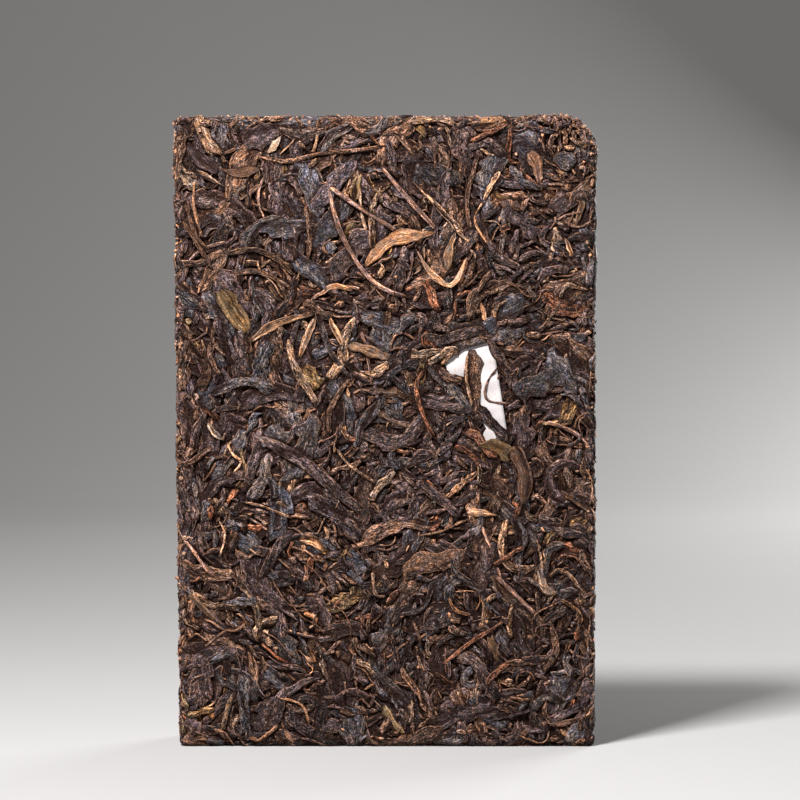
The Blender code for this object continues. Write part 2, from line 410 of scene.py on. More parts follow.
class Map:
    """One side of the brick laid out flat, with the height of what lies on it."""

    FINE_RADIUS = 1.8  # the level round a leaf is taken over this radius
    COARSE_RADIUS = 5.0  # and the wider level over this one
    SHADE_RADIUS = 0.75  # a gap is as deep as it lies below the level over this one
    DEEP = 0.5  # the depth at which a gap's painted shade is darkest
    PRESS = 0.85  # the share of a leaf's relief that pressing leaves
    SWAY = 0.25  # the most that the level round a leaf stands over the wider one
    LOOSE_SWAY = 2.5  # how much more of that stays where the leaves are loose
    TOP = 0.75  # the most that a leaf stands over its level
    DROP = 0.35  # how far the level lies below the mould's wall

    def __init__(self, low, high, loose):
        self.loose = loose
        self.low = np.array(low, float)
        cells = np.ceil((np.array(high) - self.low) / CELL).astype(int)
        self.cells = tuple(cells + (-cells) % POOL)
        self.height = np.zeros(self.cells)
        self.owner = np.full(self.cells, EMPTY)
        self.pooled = np.zeros(tuple(n // POOL for n in self.cells))
        self.kept_free = np.zeros(self.cells, bool)

    def index(self, u, v):
        """The cells at places u, v, and which of these places are on the map."""
        iu = np.floor((u - self.low[0]) / CELL).astype(int)
        iv = np.floor((v - self.low[1]) / CELL).astype(int)
        on_map = (iu >= 0) & (iv >= 0) & (iu < self.cells[0]) & (iv < self.cells[1])
        return np.where(on_map, iu, 0), np.where(on_map, iv, 0), on_map

    def read(self, grid, u, v, cell=CELL):
        """The grid's value at places between its cells' centres."""
        fu = np.clip((u - self.low[0]) / cell - 0.5, 0, grid.shape[0] - 1.001)
        fv = np.clip((v - self.low[1]) / cell - 0.5, 0, grid.shape[1] - 1.001)
        iu, iv = fu.astype(int), fv.astype(int)
        fu, fv = fu - iu, fv - iv
        low = grid[iu, iv] * (1 - fv) + grid[iu, iv + 1] * fv
        high = grid[iu + 1, iv] * (1 - fv) + grid[iu + 1, iv + 1] * fv
        return low * (1 - fu) + high * fu

    def under(self, u, v):
        """How high the leaves reach round places u, v."""
        return self.read(self.pooled, u, v, CELL * POOL)

    def put(self, u, v, z, owner):
        """Raises the map to a surface given by many places, where it reaches above what is there."""
        iu, iv, on_map = self.index(u, v)
        higher = on_map & (z > self.height[iu, iv])
        iu, iv, z = iu[higher], iv[higher], z[higher]
        np.maximum.at(self.height, (iu, iv), z)
        np.maximum.at(self.pooled, (iu // POOL, iv // POOL), z)
        self.owner[iu, iv] = owner

    def grid(self):
        """The places of all the map's cells."""
        u = self.low[0] + (np.arange(self.cells[0]) + 0.5) * CELL
        v = self.low[1] + (np.arange(self.cells[1]) + 0.5) * CELL
        return np.meshgrid(u, v, indexing="ij")

    def finish(self):
        """Works out what pressing needs, once everything is laid."""
        self.fine = blurred(self.height, self.FINE_RADIUS / CELL)
        coarse = blurred(self.height, self.COARSE_RADIUS / CELL)
        self.sway = self.SWAY * np.tanh((self.fine - coarse) / self.SWAY)
        # the level round each place, for how deep it lies and so how much painted shade its gap gets
        self.around = blurred(self.height, self.SHADE_RADIUS / CELL)

    def pressed(self, u, v, z):
        """Height over the mould's wall: the leaves are pressed level, and their folds and gaps stay."""
        loose = self.loose(u, v)
        relief = (z - self.read(self.fine, u, v)) * (self.PRESS + loose)
        relief += self.read(self.sway, u, v) * (1 + self.LOOSE_SWAY * loose) - self.DROP
        top = self.TOP * (1 + loose)
        return np.where(relief > 0, top * (1 - np.exp(-np.maximum(relief, 0) / top)), relief)

    def hollow(self, u, v, z):
        """How deep a place lies below its surroundings, from 0 to 1. The leaves' painted shade in the gaps
        grows with it.
        """
        return np.clip((self.read(self.around, u, v) - z) / self.DEEP, 0, 1)


# ---------------------------------------------------------------- the brick's shape


FOOT = 0.4  # below this height the leaves are squeezed together at the foot


def lean(x, z, sizes):
    """The brick's left side draws in towards the foot."""
    leftness = (HALF_WIDTH - x) / (2 * HALF_WIDTH)
    lowness = (HEIGHT - z) / HEIGHT
    return x + sizes.lean / MM * leftness * lowness


def standing(x, y, z, sizes):
    """Places in metres, leaned, and kept above the ground that the foot is pressed flat on."""
    z = np.where(z < FOOT, FOOT * np.exp((z - FOOT) / FOOT), z)
    return np.stack([lean(x, z, sizes), y, z], -1) * MM


def folded(past, edge):
    """How far places past an edge turn round it, and how far beyond its quarter turn they lie."""
    return np.minimum(past / edge, math.pi / 2), np.maximum(past - edge * math.pi / 2, 0)


def on_face(u, v, h, sizes, side):
    """Folds the front's map (side -1) or the back's (side 1) over the brick's edges."""
    edge, worn = sizes.edge / MM, sizes.worn / MM
    x = -side * u
    inner_x = np.clip(x, -HALF_WIDTH + edge, HALF_WIDTH - edge)
    inner_z = np.clip(v, edge, HEIGHT - edge)
    across, up = x - (HALF_WIDTH - worn), v - (HEIGHT - worn)
    reach = np.hypot(across, up)
    over = (across > 0) & (up > 0) & (reach > worn - edge)
    back_to_arc = (worn - edge) / np.maximum(reach, TINY)
    inner_x = np.where(over, HALF_WIDTH - worn + across * back_to_arc, inner_x)
    inner_z = np.where(over, HEIGHT - worn + up * back_to_arc, inner_z)
    past = np.hypot(x - inner_x, v - inner_z)
    turn, further = folded(past, edge)
    out = (edge + h) * np.sin(turn) / np.maximum(past, TINY)
    depth = edge - (edge + h) * np.cos(turn) + further
    x, z = inner_x + (x - inner_x) * out, inner_z + (v - inner_z) * out
    return standing(x, side * (HALF_DEPTH - depth), z, sizes)


def band_stretches(sizes):
    """The way round the brick from the middle of its foot, anticlockwise seen from the front.

    A stretch has its length, the inner place that it starts from, its direction and the angle that it
    turns through. All of it lies one edge radius inside the outline.
    """
    edge, worn = sizes.edge / MM, sizes.worn / MM
    side, top = HALF_WIDTH - edge, HEIGHT - edge
    quarter = math.pi / 2
    corner = edge * quarter
    return [
        (side, (0, edge), 0, 0),
        (corner, (side, edge), 0, quarter),
        (HEIGHT - worn - edge, (side, edge), quarter, 0),
        (worn * quarter, (side, HEIGHT - worn), quarter, quarter),
        (HALF_WIDTH - worn + side, (HALF_WIDTH - worn, top), 2 * quarter, 0),
        (corner, (-side, top), 2 * quarter, quarter),
        (top - edge, (-side, top), 3 * quarter, 0),
        (corner, (-side, edge), 3 * quarter, quarter),
        (side, (-side, edge), 4 * quarter, 0),
    ]


def band_length(sizes):
    """All the way round the brick."""
    return sum(stretch[0] for stretch in band_stretches(sizes))


def on_band(u, v, h, sizes):
    """Wraps the band's map round the brick, with its margins folded onto the front and the back."""
    edge, worn = sizes.edge / MM, sizes.worn / MM
    u = np.mod(u, band_length(sizes))
    inner_x, inner_z = np.zeros(u.shape), np.zeros(u.shape)
    way = np.zeros(u.shape)
    start = 0.0
    for length, (x, z), direction, turning in band_stretches(sizes):
        here = (u >= start) & (u <= start + length)
        run = (u - start) / length
        angle = direction + turning * run
        if turning:
            radius = length / turning - edge
            centre_x = x - radius * math.sin(direction)
            centre_z = z + radius * math.cos(direction)
            inner_x = np.where(here, centre_x + radius * np.sin(angle), inner_x)
            inner_z = np.where(here, centre_z - radius * np.cos(angle), inner_z)
        else:
            inner_x = np.where(here, x + length * run * math.cos(direction), inner_x)
            inner_z = np.where(here, z + length * run * math.sin(direction), inner_z)
        way = np.where(here, angle, way)
        start += length
    past = np.maximum(np.abs(v) - (HALF_DEPTH - edge), 0)
    turn, further = folded(past, edge)
    out = (edge + h) * np.cos(turn) - further
    y = np.minimum(np.abs(v), HALF_DEPTH - edge) + (edge + h) * np.sin(turn)
    x, z = inner_x + np.sin(way) * out, inner_z - np.cos(way) * out
    return standing(x, -np.sign(v) * y, z, sizes)


# ---------------------------------------------------------------- one leaf


class Leaf:
    """One leaf: places across and along it, its height over what it lies on, and its looks."""

    RIM = 0.93  # how far out a leaf's upper side goes on its round section
    GROUND_LANES = np.array([0.72, -0.72])  # where its two points below lie across it
    GROUND_DEPTH = 0.12  # how far they lie below its margins, as a share of its thickness
    FOLDS = 24  # levels that its folds are drawn from
    SHADE_SPREAD, MOST_SHADE, WARMTH_SPREAD = 0.35, 1.5, 0.05  # how much leaves of a colour differ
    TIP = 0.10  # how wide it is at its ends at least, as a share of its width
    THINNEST = 0.12  # how thick it is at least, as a share of its thickness there
    END, END_DEPTH = 0.3, 0.6  # how long a part of its half is pushed in at an end, and how deep
    STEP, LANE = 0.2, 0.14  # spacing of the places that it raises the map at

    def __init__(self, random, kind_name, line, width, colour):
        self.kind_name, self.kind, self.colour = kind_name, KINDS[kind_name], colour
        self.width = width
        self.length = float(np.linalg.norm(np.diff(line, axis=0), axis=1).sum())
        self.seed = random.uniform()
        self.shade = min(random.lognormal(0, self.SHADE_SPREAD), self.MOST_SHADE)
        self.warmth = random.normal(0, self.WARMTH_SPREAD)
        thickness = random.uniform(*self.kind.thickness)
        along = np.linspace(-1, 1, self.kind.stations)[:, None]
        lanes = lane_places(self.kind.lanes)[None, :]
        taper = self.set_outline(random, line, along, lanes)
        self.set_section(random, thickness * taper**0.6, along, lanes)
        self.under = self.GROUND_DEPTH * thickness
        ends = np.clip((np.abs(along) - (1 - self.END)) / self.END, 0, 1) ** 2
        swing = random.uniform(0.5, 1.2) * along + random.uniform()
        dips = np.maximum(0, np.sin(2 * math.pi * swing)) * random.uniform()
        self.dive = -(self.kind.tuck * ends * (thickness + self.END_DEPTH) + self.kind.weave * dips)

    def set_outline(self, random, line, along, lanes):
        """Gives the leaf tapered ends and ragged margins, torn aslant, round its middle line."""
        kind = self.kind
        wave = random.uniform(0.6, 1.4) * along + random.uniform()
        place = along + random.uniform(-0.4, 0.4) * (1 - along**2)
        blunt = kind.blunt * np.where(place > 0, *random.uniform(0.75, 1.35, 2))
        taper = np.maximum(1 - np.abs(place) ** blunt, 0) ** (1.3 / blunt)
        taper = np.maximum(taper, self.TIP)
        jags = random.normal(0, 1, (kind.stations, 2))
        ragged = 1 + kind.ragged * (0.5 * jags + 0.8 * evened(kind.stations, 1) @ jags)
        halves = self.width / 2 * taper * (1 + 0.12 * np.sin(2 * math.pi * wave)) * np.clip(ragged, 0.5, 1.5)
        half = np.where(lanes > 0, halves[:, :1], halves[:, 1:])
        sideways = np.concatenate([lanes * half, self.GROUND_LANES[None, :] * halves], 1)
        forward = random.normal(0, kind.slant) * sideways
        ahead = np.gradient(line, axis=0)
        ahead /= np.linalg.norm(ahead, axis=1, keepdims=True) + TINY
        left = np.stack([-ahead[:, 1], ahead[:, 0]], 1)
        self.u = line[:, :1] + left[:, :1] * sideways + ahead[:, :1] * forward
        self.v = line[:, 1:] + left[:, 1:] * sideways + ahead[:, 1:] * forward
        self.inwards = self.with_ground((1 - np.abs(lanes)) * half, 0.0)
        return taper

    def set_section(self, random, thickness, along, lanes):
        """Gives the leaf its round back, with folds that run along it and wind round it."""
        kind = self.kind
        winding = kind.twist * random.normal(0, 1) * self.length / 10 * along + random.uniform(4, 8)
        levels = 1 - random.uniform(0, 1, self.FOLDS) ** 2.2
        levels[1::2] **= 3
        across = np.arange(kind.lanes)[None, :] * kind.creases + winding
        folds = np.interp(across, np.arange(self.FOLDS), levels)
        uneven = evened(kind.stations, 1) @ random.normal(0, kind.crumple, (kind.stations, kind.lanes))
        folds = np.clip(folds + uneven, -0.1, 1.2)
        crown = np.sqrt(1 - (self.RIM * np.abs(lanes)) ** kind.flatness)
        section = crown * (1 - kind.fold + kind.fold * folds)
        self.section = thickness * np.maximum(section, self.THINNEST)
        # how high each upper point stands in the folds, and -0.5 at the two below: the material paints shade
        # where this is low and highlights where it is high
        self.relief = self.with_ground((folds - 0.55) * min(1, kind.fold * 1.3), -0.5)

    def with_ground(self, values, ground):
        """Values at the leaf's upper points, with one value for the two below added to each ring."""
        return np.concatenate([values, np.full((len(values), 2), ground)], 1)

    def moved(self, u, v):
        """The leaf, carried to another place."""
        self.u += u
        self.v += v
        return self

    def fine(self, values):
        """Values at the leaf's upper points, filled in until every cell under it has some."""
        along = spread(self.kind.stations, cuts(self.length, self.STEP, 6))
        across = spread(self.kind.lanes, cuts(self.width, self.LANE, 3))
        return along @ values @ across.T

    def lay(self, flat_map, number, clearance=0.0):
        """Drapes the leaf over what is on the map, and adds it there."""
        lanes = self.kind.lanes
        under = flat_map.under(self.u[:, :lanes], self.v[:, :lanes])
        middle = under.mean(1, keepdims=True)
        under = middle + self.kind.give * (under - middle)
        even = evened(self.kind.stations, self.kind.stiff) @ under
        rest = even + self.dive + clearance
        top = rest + self.section
        ground = rest[:, [-1, 0]] - self.under
        self.z = np.concatenate([top, ground], 1)
        fine_u, fine_v = self.fine(self.u[:, :lanes]), self.fine(self.v[:, :lanes])
        flat_map.put(fine_u, fine_v, self.fine(top), number)
        self.footprint = (fine_u, fine_v)


def wandering_line(random, kind, length, heading):
    """A line round the origin that bends and sways, with a hook at one end of some."""
    run = np.linspace(-0.5, 0.5, kind.stations)
    turn = random.normal(0, kind.bend) * run * 2
    turn += kind.wander * np.sin(2 * math.pi * (random.uniform(0.6, 1.7) * run + random.uniform()))
    if random.uniform() < kind.hooked:
        end = run * random.choice([-1, 1])
        turn += random.choice([-1, 1]) * random.uniform(1.0, 2.4) * np.clip(end / 0.35 - 0.4, 0, 1)
    angle = heading + turn
    line = np.cumsum(np.stack([np.cos(angle), np.sin(angle)], 1), 0) * length / (kind.stations - 1)
    return line - line.mean(0)


def line_through(points, stations):
    """A smooth line through given points, with its stations evenly spaced."""
    points = np.array(points, float)
    before, after = 2 * points[0] - points[1], 2 * points[-1] - points[-2]
    padded = np.vstack([before, points, after])
    steps = 12
    t = np.linspace(0, 1, steps, endpoint=False)[:, None]
    pieces = [
        (2 * b + (c - a) * t + (2 * a - 5 * b + 4 * c - d) * t**2 + (3 * b - a - 3 * c + d) * t**3) / 2
        for a, b, c, d in zip(padded, padded[1:], padded[2:], padded[3:])
    ]
    line = np.vstack(pieces + [points[-1:]])
    run = np.concatenate([[0], np.cumsum(np.linalg.norm(np.diff(line, axis=0), axis=1))])
    even = np.linspace(0, run[-1], stations)
    return np.stack([np.interp(even, run, line[:, k]) for k in range(2)], 1)


# ---------------------------------------------------------------- laying


class Side:
    """One side of the brick with all the leaves that are laid on it."""

    SPOTS = 3  # random places that a leaf's spot is chosen from
    TRIES = 4  # times that a leaf is tried before it is given up
    FLOW_CELL = 4.0  # the drifts' directions are kept this far apart
    FLOW_RADIUS = 2.2  # and evened out over this many of them
    ANY_WAY = 0.45  # the share that lies across the drifts
    IN_LINE, IN_DRIFT = 0.3, 0.35  # how far leaves turn from an edge's way and from a drift's, in radians
    SHORTENED, NARROWED = 0.6, 0.35  # how much smaller leaves are where all is crumbled
    OVERLAP = 0.04  # the share of a leaf that may cover a place that is kept free
    CHOSEN_DIVE = 0.6  # how much of their dips the chosen leaves keep
    CHOSEN_CLEARANCE = 0.15  # how much higher than others they lie
    CHOSEN_ENDS = 8  # one part in so many at each of their ends may be covered

    def __init__(self, name, low, high, place, border, crumbly, loose, few_crumbs, random):
        self.name = name
        self.few_crumbs = few_crumbs
        self.map = Map(low, high, loose)
        self.place = place
        self.border = border
        self.crumbly = crumbly
        self.leaves = []
        cells = tuple(int((b - a) / self.FLOW_CELL) + 2 for a, b in zip(low, high))
        self.flow = [blurred(random.normal(0, 1, cells), self.FLOW_RADIUS) for _ in range(2)]

    def heading(self, random, u, v):
        """Leaves lie in drifts, with others across them, and along an edge most run with the edge."""
        way, hold = self.border(u, v)
        if random.uniform() < hold:
            return way + random.normal(0, self.IN_LINE)
        if random.uniform() < self.ANY_WAY:
            return random.uniform(0, 2 * math.pi)
        cosine, sine = (self.map.read(part, u, v, self.FLOW_CELL) for part in self.flow)
        return 0.5 * math.atan2(sine, cosine) + random.normal(0, self.IN_DRIFT)

    def spot(self, random, low, high):
        """Of a few random places, the one where the least lies yet."""
        u = random.uniform(low[0], high[0], self.SPOTS)
        v = random.uniform(low[1], high[1], self.SPOTS)
        best = np.argmin(self.map.under(u, v))
        return u[best], v[best]

    def scatter(self, random, amounts, low, high, plenty):
        """Lays leaves of several kinds in a mixed order, all over a part of the map."""
        area = (high[0] - low[0]) * (high[1] - low[1])
        counts = {name: round(amount * area * plenty) for name, amount in amounts.items()}
        order = np.repeat(list(counts), list(counts.values()))
        for name in random.permutation(order):
            for _ in range(self.TRIES):
                if self.add_random(random, str(name), *self.spot(random, low, high)):
                    break

    def add_random(self, random, name, u, v):
        """Lays one leaf of a kind, if it stays clear of the places that are kept free."""
        kind = KINDS[name]
        small = self.crumbly(u, v)
        length = random.uniform(*kind.length) * (1 - self.SHORTENED * small)
        width = random.uniform(*kind.width) * (1 - self.NARROWED * small)
        line = wandering_line(random, kind, length, self.heading(random, u, v))
        names, weights = list(kind.colours), np.array(list(kind.colours.values()), float)
        colour = str(random.choice(names, p=weights / weights.sum()))
        leaf = Leaf(random, name, line, width, colour).moved(u, v)
        iu, iv, on_map = self.map.index(leaf.u[:, : kind.lanes], leaf.v[:, : kind.lanes])
        if (self.map.kept_free[iu, iv] & on_map).mean() > self.OVERLAP:
            return False
        leaf.lay(self.map, len(self.leaves))
        self.leaves.append(leaf)
        return True

    def add_chosen(self, random, rows):
        """Lays leaves along listed lines, and keeps their middles free of what comes later."""
        for name, colour, width, points in rows:
            kind = KINDS[name]
            leaf = Leaf(random, name, line_through(points, kind.stations), width, colour)
            leaf.shade, leaf.warmth = 1.0, 0.0
            leaf.dive *= self.CHOSEN_DIVE
            leaf.lay(self.map, len(self.leaves), clearance=self.CHOSEN_CLEARANCE)
            self.leaves.append(leaf)
            iu, iv, on_map = self.map.index(*leaf.footprint)
            margin = len(iu) // self.CHOSEN_ENDS
            keep = on_map[margin:-margin]
            self.map.kept_free[iu[margin:-margin][keep], iv[margin:-margin][keep]] = True

    def crumbs(self, u, v):
        """Crumbs to each square millimetre at places u, v."""
        return self.few_crumbs + LOOSE_CRUMBS * self.map.loose(u, v) ** 1.5

    def keep_free(self, outlines):
        """Keeps leaves off the places inside some outlines."""
        u, v = self.map.grid()
        for outline in outlines:
            self.map.kept_free |= inside_outline(outline, u, v)


FACE_MARGIN = 8  # how far the map of a face goes on past the face, in millimetres, as are the next five
BAND_OVERLAP, BAND_MARGIN = 14, 6  # and the band's past its two ends and past its margins
PAST_EDGE = 1  # how far past an edge the middle of a leaf may lie
EDGE_REACH = 5.5  # nearer an edge than this, most leaves of a face run with it
CRUMBLED_REACH = 26  # nearer the worn corner than this, the leaves are smaller and drier
CORNER_REACH = 20  # small bits lie round the worn corner as far as this

# How loose the leaves are at an edge and at the worn corner, and over how many millimetres that fades.
EDGE_LOOSE, EDGE_FADE = 0.55, 2
CORNER_LOOSE, CORNER_FADE = 0.9, 18


def face_border(u, v):
    """Which way a face's nearest edge runs, and how many of the leaves there run with it."""
    to_side, to_end = HALF_WIDTH - abs(u), min(v, HEIGHT - v)
    way = math.pi / 2 if to_side < to_end else 0.0
    return way, 0.8 if min(to_side, to_end) < EDGE_REACH else 0.0


def band_border(u, v):
    """On the band most leaves run round the brick."""
    return 0.0, 0.6


def crumbly_face(side):
    """How crumbled the leaves are on a face: most at the worn corner."""
    return lambda u, v: max(0.0, 1 - math.hypot(HALF_WIDTH + side * u, HEIGHT - v) / CRUMBLED_REACH)


def crumbly_band(u, v):
    """How crumbled the leaves are on the band: as much all along it."""
    return 0.35


def looseness(to_edge, to_corner):
    """How much further the leaves stand out than where the mould pressed them hardest."""
    at_corner = CORNER_LOOSE * np.clip(1.3 - to_corner / CORNER_FADE, 0, 1)
    return EDGE_LOOSE * np.exp(-np.maximum(to_edge, 0) / EDGE_FADE) + at_corner


def loose_on_face(side):
    """How loose the leaves are on the front (side -1) or the back (side 1)."""

    def amount(u, v):
        to_edge = np.minimum(np.minimum(HALF_WIDTH - np.abs(u), HEIGHT - v), v)
        return looseness(to_edge, np.hypot(HALF_WIDTH + side * u, HEIGHT - v))

    return amount


def worn_corner_on_band(sizes):
    """How far round the brick the middle of the worn corner lies."""
    stretches = band_stretches(sizes)
    return sum(stretch[0] for stretch in stretches[:3]) + stretches[3][0] / 2


def loose_on_band(sizes):
    """How loose the leaves are on the band."""
    corner = worn_corner_on_band(sizes)
    return lambda u, v: looseness(HALF_DEPTH - np.abs(v), np.abs(u - corner))


SLIP_PITCH = 1.0  # spacing of the slip's points
SLIP_RISE = 0.75  # how far it lies over the level of the leaves below it
SLIP_EVEN = 1.3  # the radius over which it evens them out
SLIP_MIDDLE = (SLIP_LOW + SLIP_HIGH) / 2


def slip_places(sizes, pitch):
    """A grid of places on the slip, on the front's map."""
    width, height = sizes.slip_width / MM, sizes.slip_height / MM
    p = np.linspace(-width / 2, width / 2, round(width / pitch) + 1)
    q = np.linspace(-height / 2, height / 2, round(height / pitch) + 1)
    p, q = np.meshgrid(p, q, indexing="ij")
    cos, sin = math.cos(sizes.slip_tilt), math.sin(sizes.slip_tilt)
    return SLIP_MIDDLE[0] + p * cos - q * sin, SLIP_MIDDLE[2] + p * sin + q * cos


def slip_level(side, u, v):
    """Height of the slip at places u, v."""
    return side.map.read(side.slip_bed, u, v) + SLIP_RISE


def lay_slip(side, sizes):
    """Lays the slip over the leaves that are there, and keeps what shows of it free."""
    side.slip_bed = blurred(side.map.height, SLIP_EVEN / CELL)
    u, v = slip_places(sizes, CELL * 0.8)  # a little closer than the cells, so that none is missed
    side.map.put(u, v, slip_level(side, u, v), PAPER)
    side.keep_free(SLIP_SHOWS)


def cover_slip(side, random):
    """Lays leaves over the slip until it shows only where it should."""
    u, v = side.map.grid()
    for kind_name in SLIP_LEAVES:
        bare = np.flatnonzero((side.map.owner == PAPER) & ~side.map.kept_free)
        if len(bare) > 0:
            spot = random.choice(bare)
            side.add_random(random, kind_name, u.flat[spot], v.flat[spot])


def lay_face(name, sign, sizes, random):
    """Lays the front (sign -1) or the back (sign 1)."""
    low, high = (-HALF_WIDTH - FACE_MARGIN, -FACE_MARGIN), (HALF_WIDTH + FACE_MARGIN, HEIGHT + FACE_MARGIN)
    place = partial(on_face, sizes=sizes, side=sign)
    crumbly, loose = crumbly_face(sign), loose_on_face(sign)
    side = Side(name, low, high, place, face_border, crumbly, loose, FACE_CRUMBS, random)
    inner = (-HALF_WIDTH - PAST_EDGE, -PAST_EDGE), (HALF_WIDTH + PAST_EDGE, HEIGHT + PAST_EDGE)
    is_front = name == "front"
    plenty = sizes.plenty * (1 if is_front else BACK_SHARE)
    side.scatter(random, BOTTOM_LAYERS, *inner, plenty)
    side.scatter(random, MIDDLE_LAYERS, *inner, plenty)
    if is_front:
        lay_slip(side, sizes)
        side.scatter(random, SLIP_LAYERS, *AROUND_SLIP, plenty)
        side.add_chosen(random, SLIP_COVERS)
        cover_slip(side, random)
    side.scatter(random, TOP_LAYERS, *inner, plenty)
    if is_front:
        side.add_chosen(random, CHOSEN)
        side.scatter(random, LAST_BITS, *inner, plenty)
    half = CORNER_REACH / 2
    corner = np.array([-sign * (HALF_WIDTH - half), HEIGHT - half])
    side.scatter(random, CORNER_BITS, corner - half, corner + half, plenty)
    side.map.finish()
    return side


def lay_band(sizes, random):
    """Lays the band that runs round the brick."""
    length, reach = band_length(sizes), HALF_DEPTH + BAND_MARGIN
    low, high = (-BAND_OVERLAP, -reach), (length + BAND_OVERLAP, reach)
    place = partial(on_band, sizes=sizes)
    side = Side(
        "band", low, high, place, band_border, crumbly_band, loose_on_band(sizes), BAND_CRUMBS, random
    )
    inner = (0, -HALF_DEPTH - PAST_EDGE), (length, HALF_DEPTH + PAST_EDGE)
    for _ in range(2):
        side.scatter(random, BAND_LAYERS, *inner, sizes.plenty)
    corner = worn_corner_on_band(sizes)
    near = (corner - CORNER_REACH, -HALF_DEPTH), (corner + CORNER_REACH, HALF_DEPTH)
    side.scatter(random, CORNER_BITS, *near, sizes.plenty)
    side.map.finish()
    return side


# ---------------------------------------------------------------- meshes


def packed_rows(widths, heights, gap):
    """Places for boxes in rows in a unit square: the scale that fits them, and each box's corner."""
    order = np.argsort(-heights)

    def rows(scale):
        corners = np.zeros((len(widths), 2))
        x, y, row = gap, gap, 0.0
        for k in order:
            width, height = widths[k] * scale + gap, heights[k] * scale + gap
            if x + width > 1:
                x, y, row = gap, y + row, 0.0
            row = max(row, height)
            corners[k] = x, y
            x += width
        return corners, y + row

    low, high, halvings = 0.0, 1 / max(widths.max(), heights.max()) / 1.1, 22
    for _ in range(halvings):
        middle = (low + high) / 2
        low, high = (middle, high) if rows(middle)[1] <= 1 else (low, middle)
    return low, rows(low)[0]


def new_mesh(name, vertices, corners, sizes):
    """A smooth mesh from its vertices, the vertices at its faces' corners and the faces' corner counts."""
    mesh = bpy.data.meshes.new(name)
    mesh.vertices.add(len(vertices))
    mesh.vertices.foreach_set("co", vertices.astype(np.float32).ravel())
    mesh.loops.add(len(corners))
    mesh.loops.foreach_set("vertex_index", corners.astype(np.int32))
    mesh.polygons.add(len(sizes))
    starts = np.concatenate([[0], np.cumsum(sizes)[:-1]]).astype(np.int32)
    mesh.polygons.foreach_set("loop_start", starts)
    mesh.update(calc_edges=True)
    mesh.shade_smooth()
    return mesh


def quad_mesh(name, vertices, quads):
    """A smooth mesh whose faces all have four corners."""
    return new_mesh(name, vertices, quads.ravel(), np.full(len(quads), 4))


def grid_faces(grid, flip=False):
    """The four corners of each face of a grid, the other way round where it is turned over."""
    a, b, c, d = grid[:-1, :-1], grid[1:, :-1], grid[1:, 1:], grid[:-1, 1:]
    return np.stack([a, d, c, b] if flip else [a, b, c, d], 2)


def store(mesh, name, kind, values, domain="POINT"):
    """Keeps values on the mesh under a name, for its material to read."""
    key = {"FLOAT_COLOR": "color", "FLOAT": "value"}.get(kind, "vector")
    layer = mesh.attributes.new(name, kind, domain)
    layer.data.foreach_set(key, values.astype(np.float32).ravel())


def add_piece(name, mesh, material):
    """Links a finished piece and lets it ride on the brick's one body."""
    if material:
        mesh.materials.append(material)
    piece = bpy.data.objects.new(name, mesh)
    bpy.context.scene.collection.objects.link(piece)
    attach(piece, "root")
    return piece


def tint_of(leaf, colours):
    """A leaf's own colour: its palette colour, lighter or darker and a little warmer or cooler."""
    red, green, blue = getattr(colours, leaf.colour)
    warmth = 1 + leaf.warmth
    tint = np.array([red * warmth, green, blue / warmth]) * leaf.shade
    return np.append(np.clip(tint, 0, 0.9), 1)


def gathered(leaves, name):
    """What each leaf keeps under a name, as one array."""
    return np.array([getattr(leaf, name) for leaf in leaves])


def showing(leaves, flat_map, numbers, least):
    """The first and last station that shows of each leaf, and which leaves show enough to be kept."""
    lanes = leaves[0].kind.lanes
    u, v, z = (gathered(leaves, name)[..., :lanes] for name in "uvz")
    shows = (z > flat_map.read(flat_map.height, u, v) - HIDDEN_DEPTH).any(2)
    owned = flat_map.owner[flat_map.owner >= 0]
    area = np.bincount(owned.ravel(), minlength=max(numbers) + 1)[numbers] * CELL**2
    stations = np.arange(shows.shape[1])
    first = np.where(shows, stations, stations[-1]).min(1)
    last = np.where(shows, stations, 0).max(1)
    first, last = np.maximum(first - 1, 0), np.minimum(last + 1, stations[-1])
    return first, last, (area > least) & (last - first >= 2)


def leaf_faces(shape, first, last):
    """Faces round each leaf from its first to its last station, and a cap at both ends.

    Gives the leaf and the station that each ring of faces starts at, all the faces' corners, and how many
    corners each face has.
    """
    count, stations, ring = shape
    number = np.arange(count * stations * ring).reshape(shape)
    at = np.arange(stations - 1)[None, :]
    which, where = np.nonzero((at >= first[:, None]) & (at < last[:, None]))
    start, end = number[which, where], number[which, where + 1]
    quads = np.stack([start, end, np.roll(end, -1, 1), np.roll(start, -1, 1)], -1)
    each = np.arange(count)
    caps = np.concatenate([number[each, first], number[each, last][:, ::-1]])
    corners = np.concatenate([quads.ravel(), caps.ravel()])
    return which, where, corners, np.repeat([4, ring], [quads.size // 4, len(caps)])


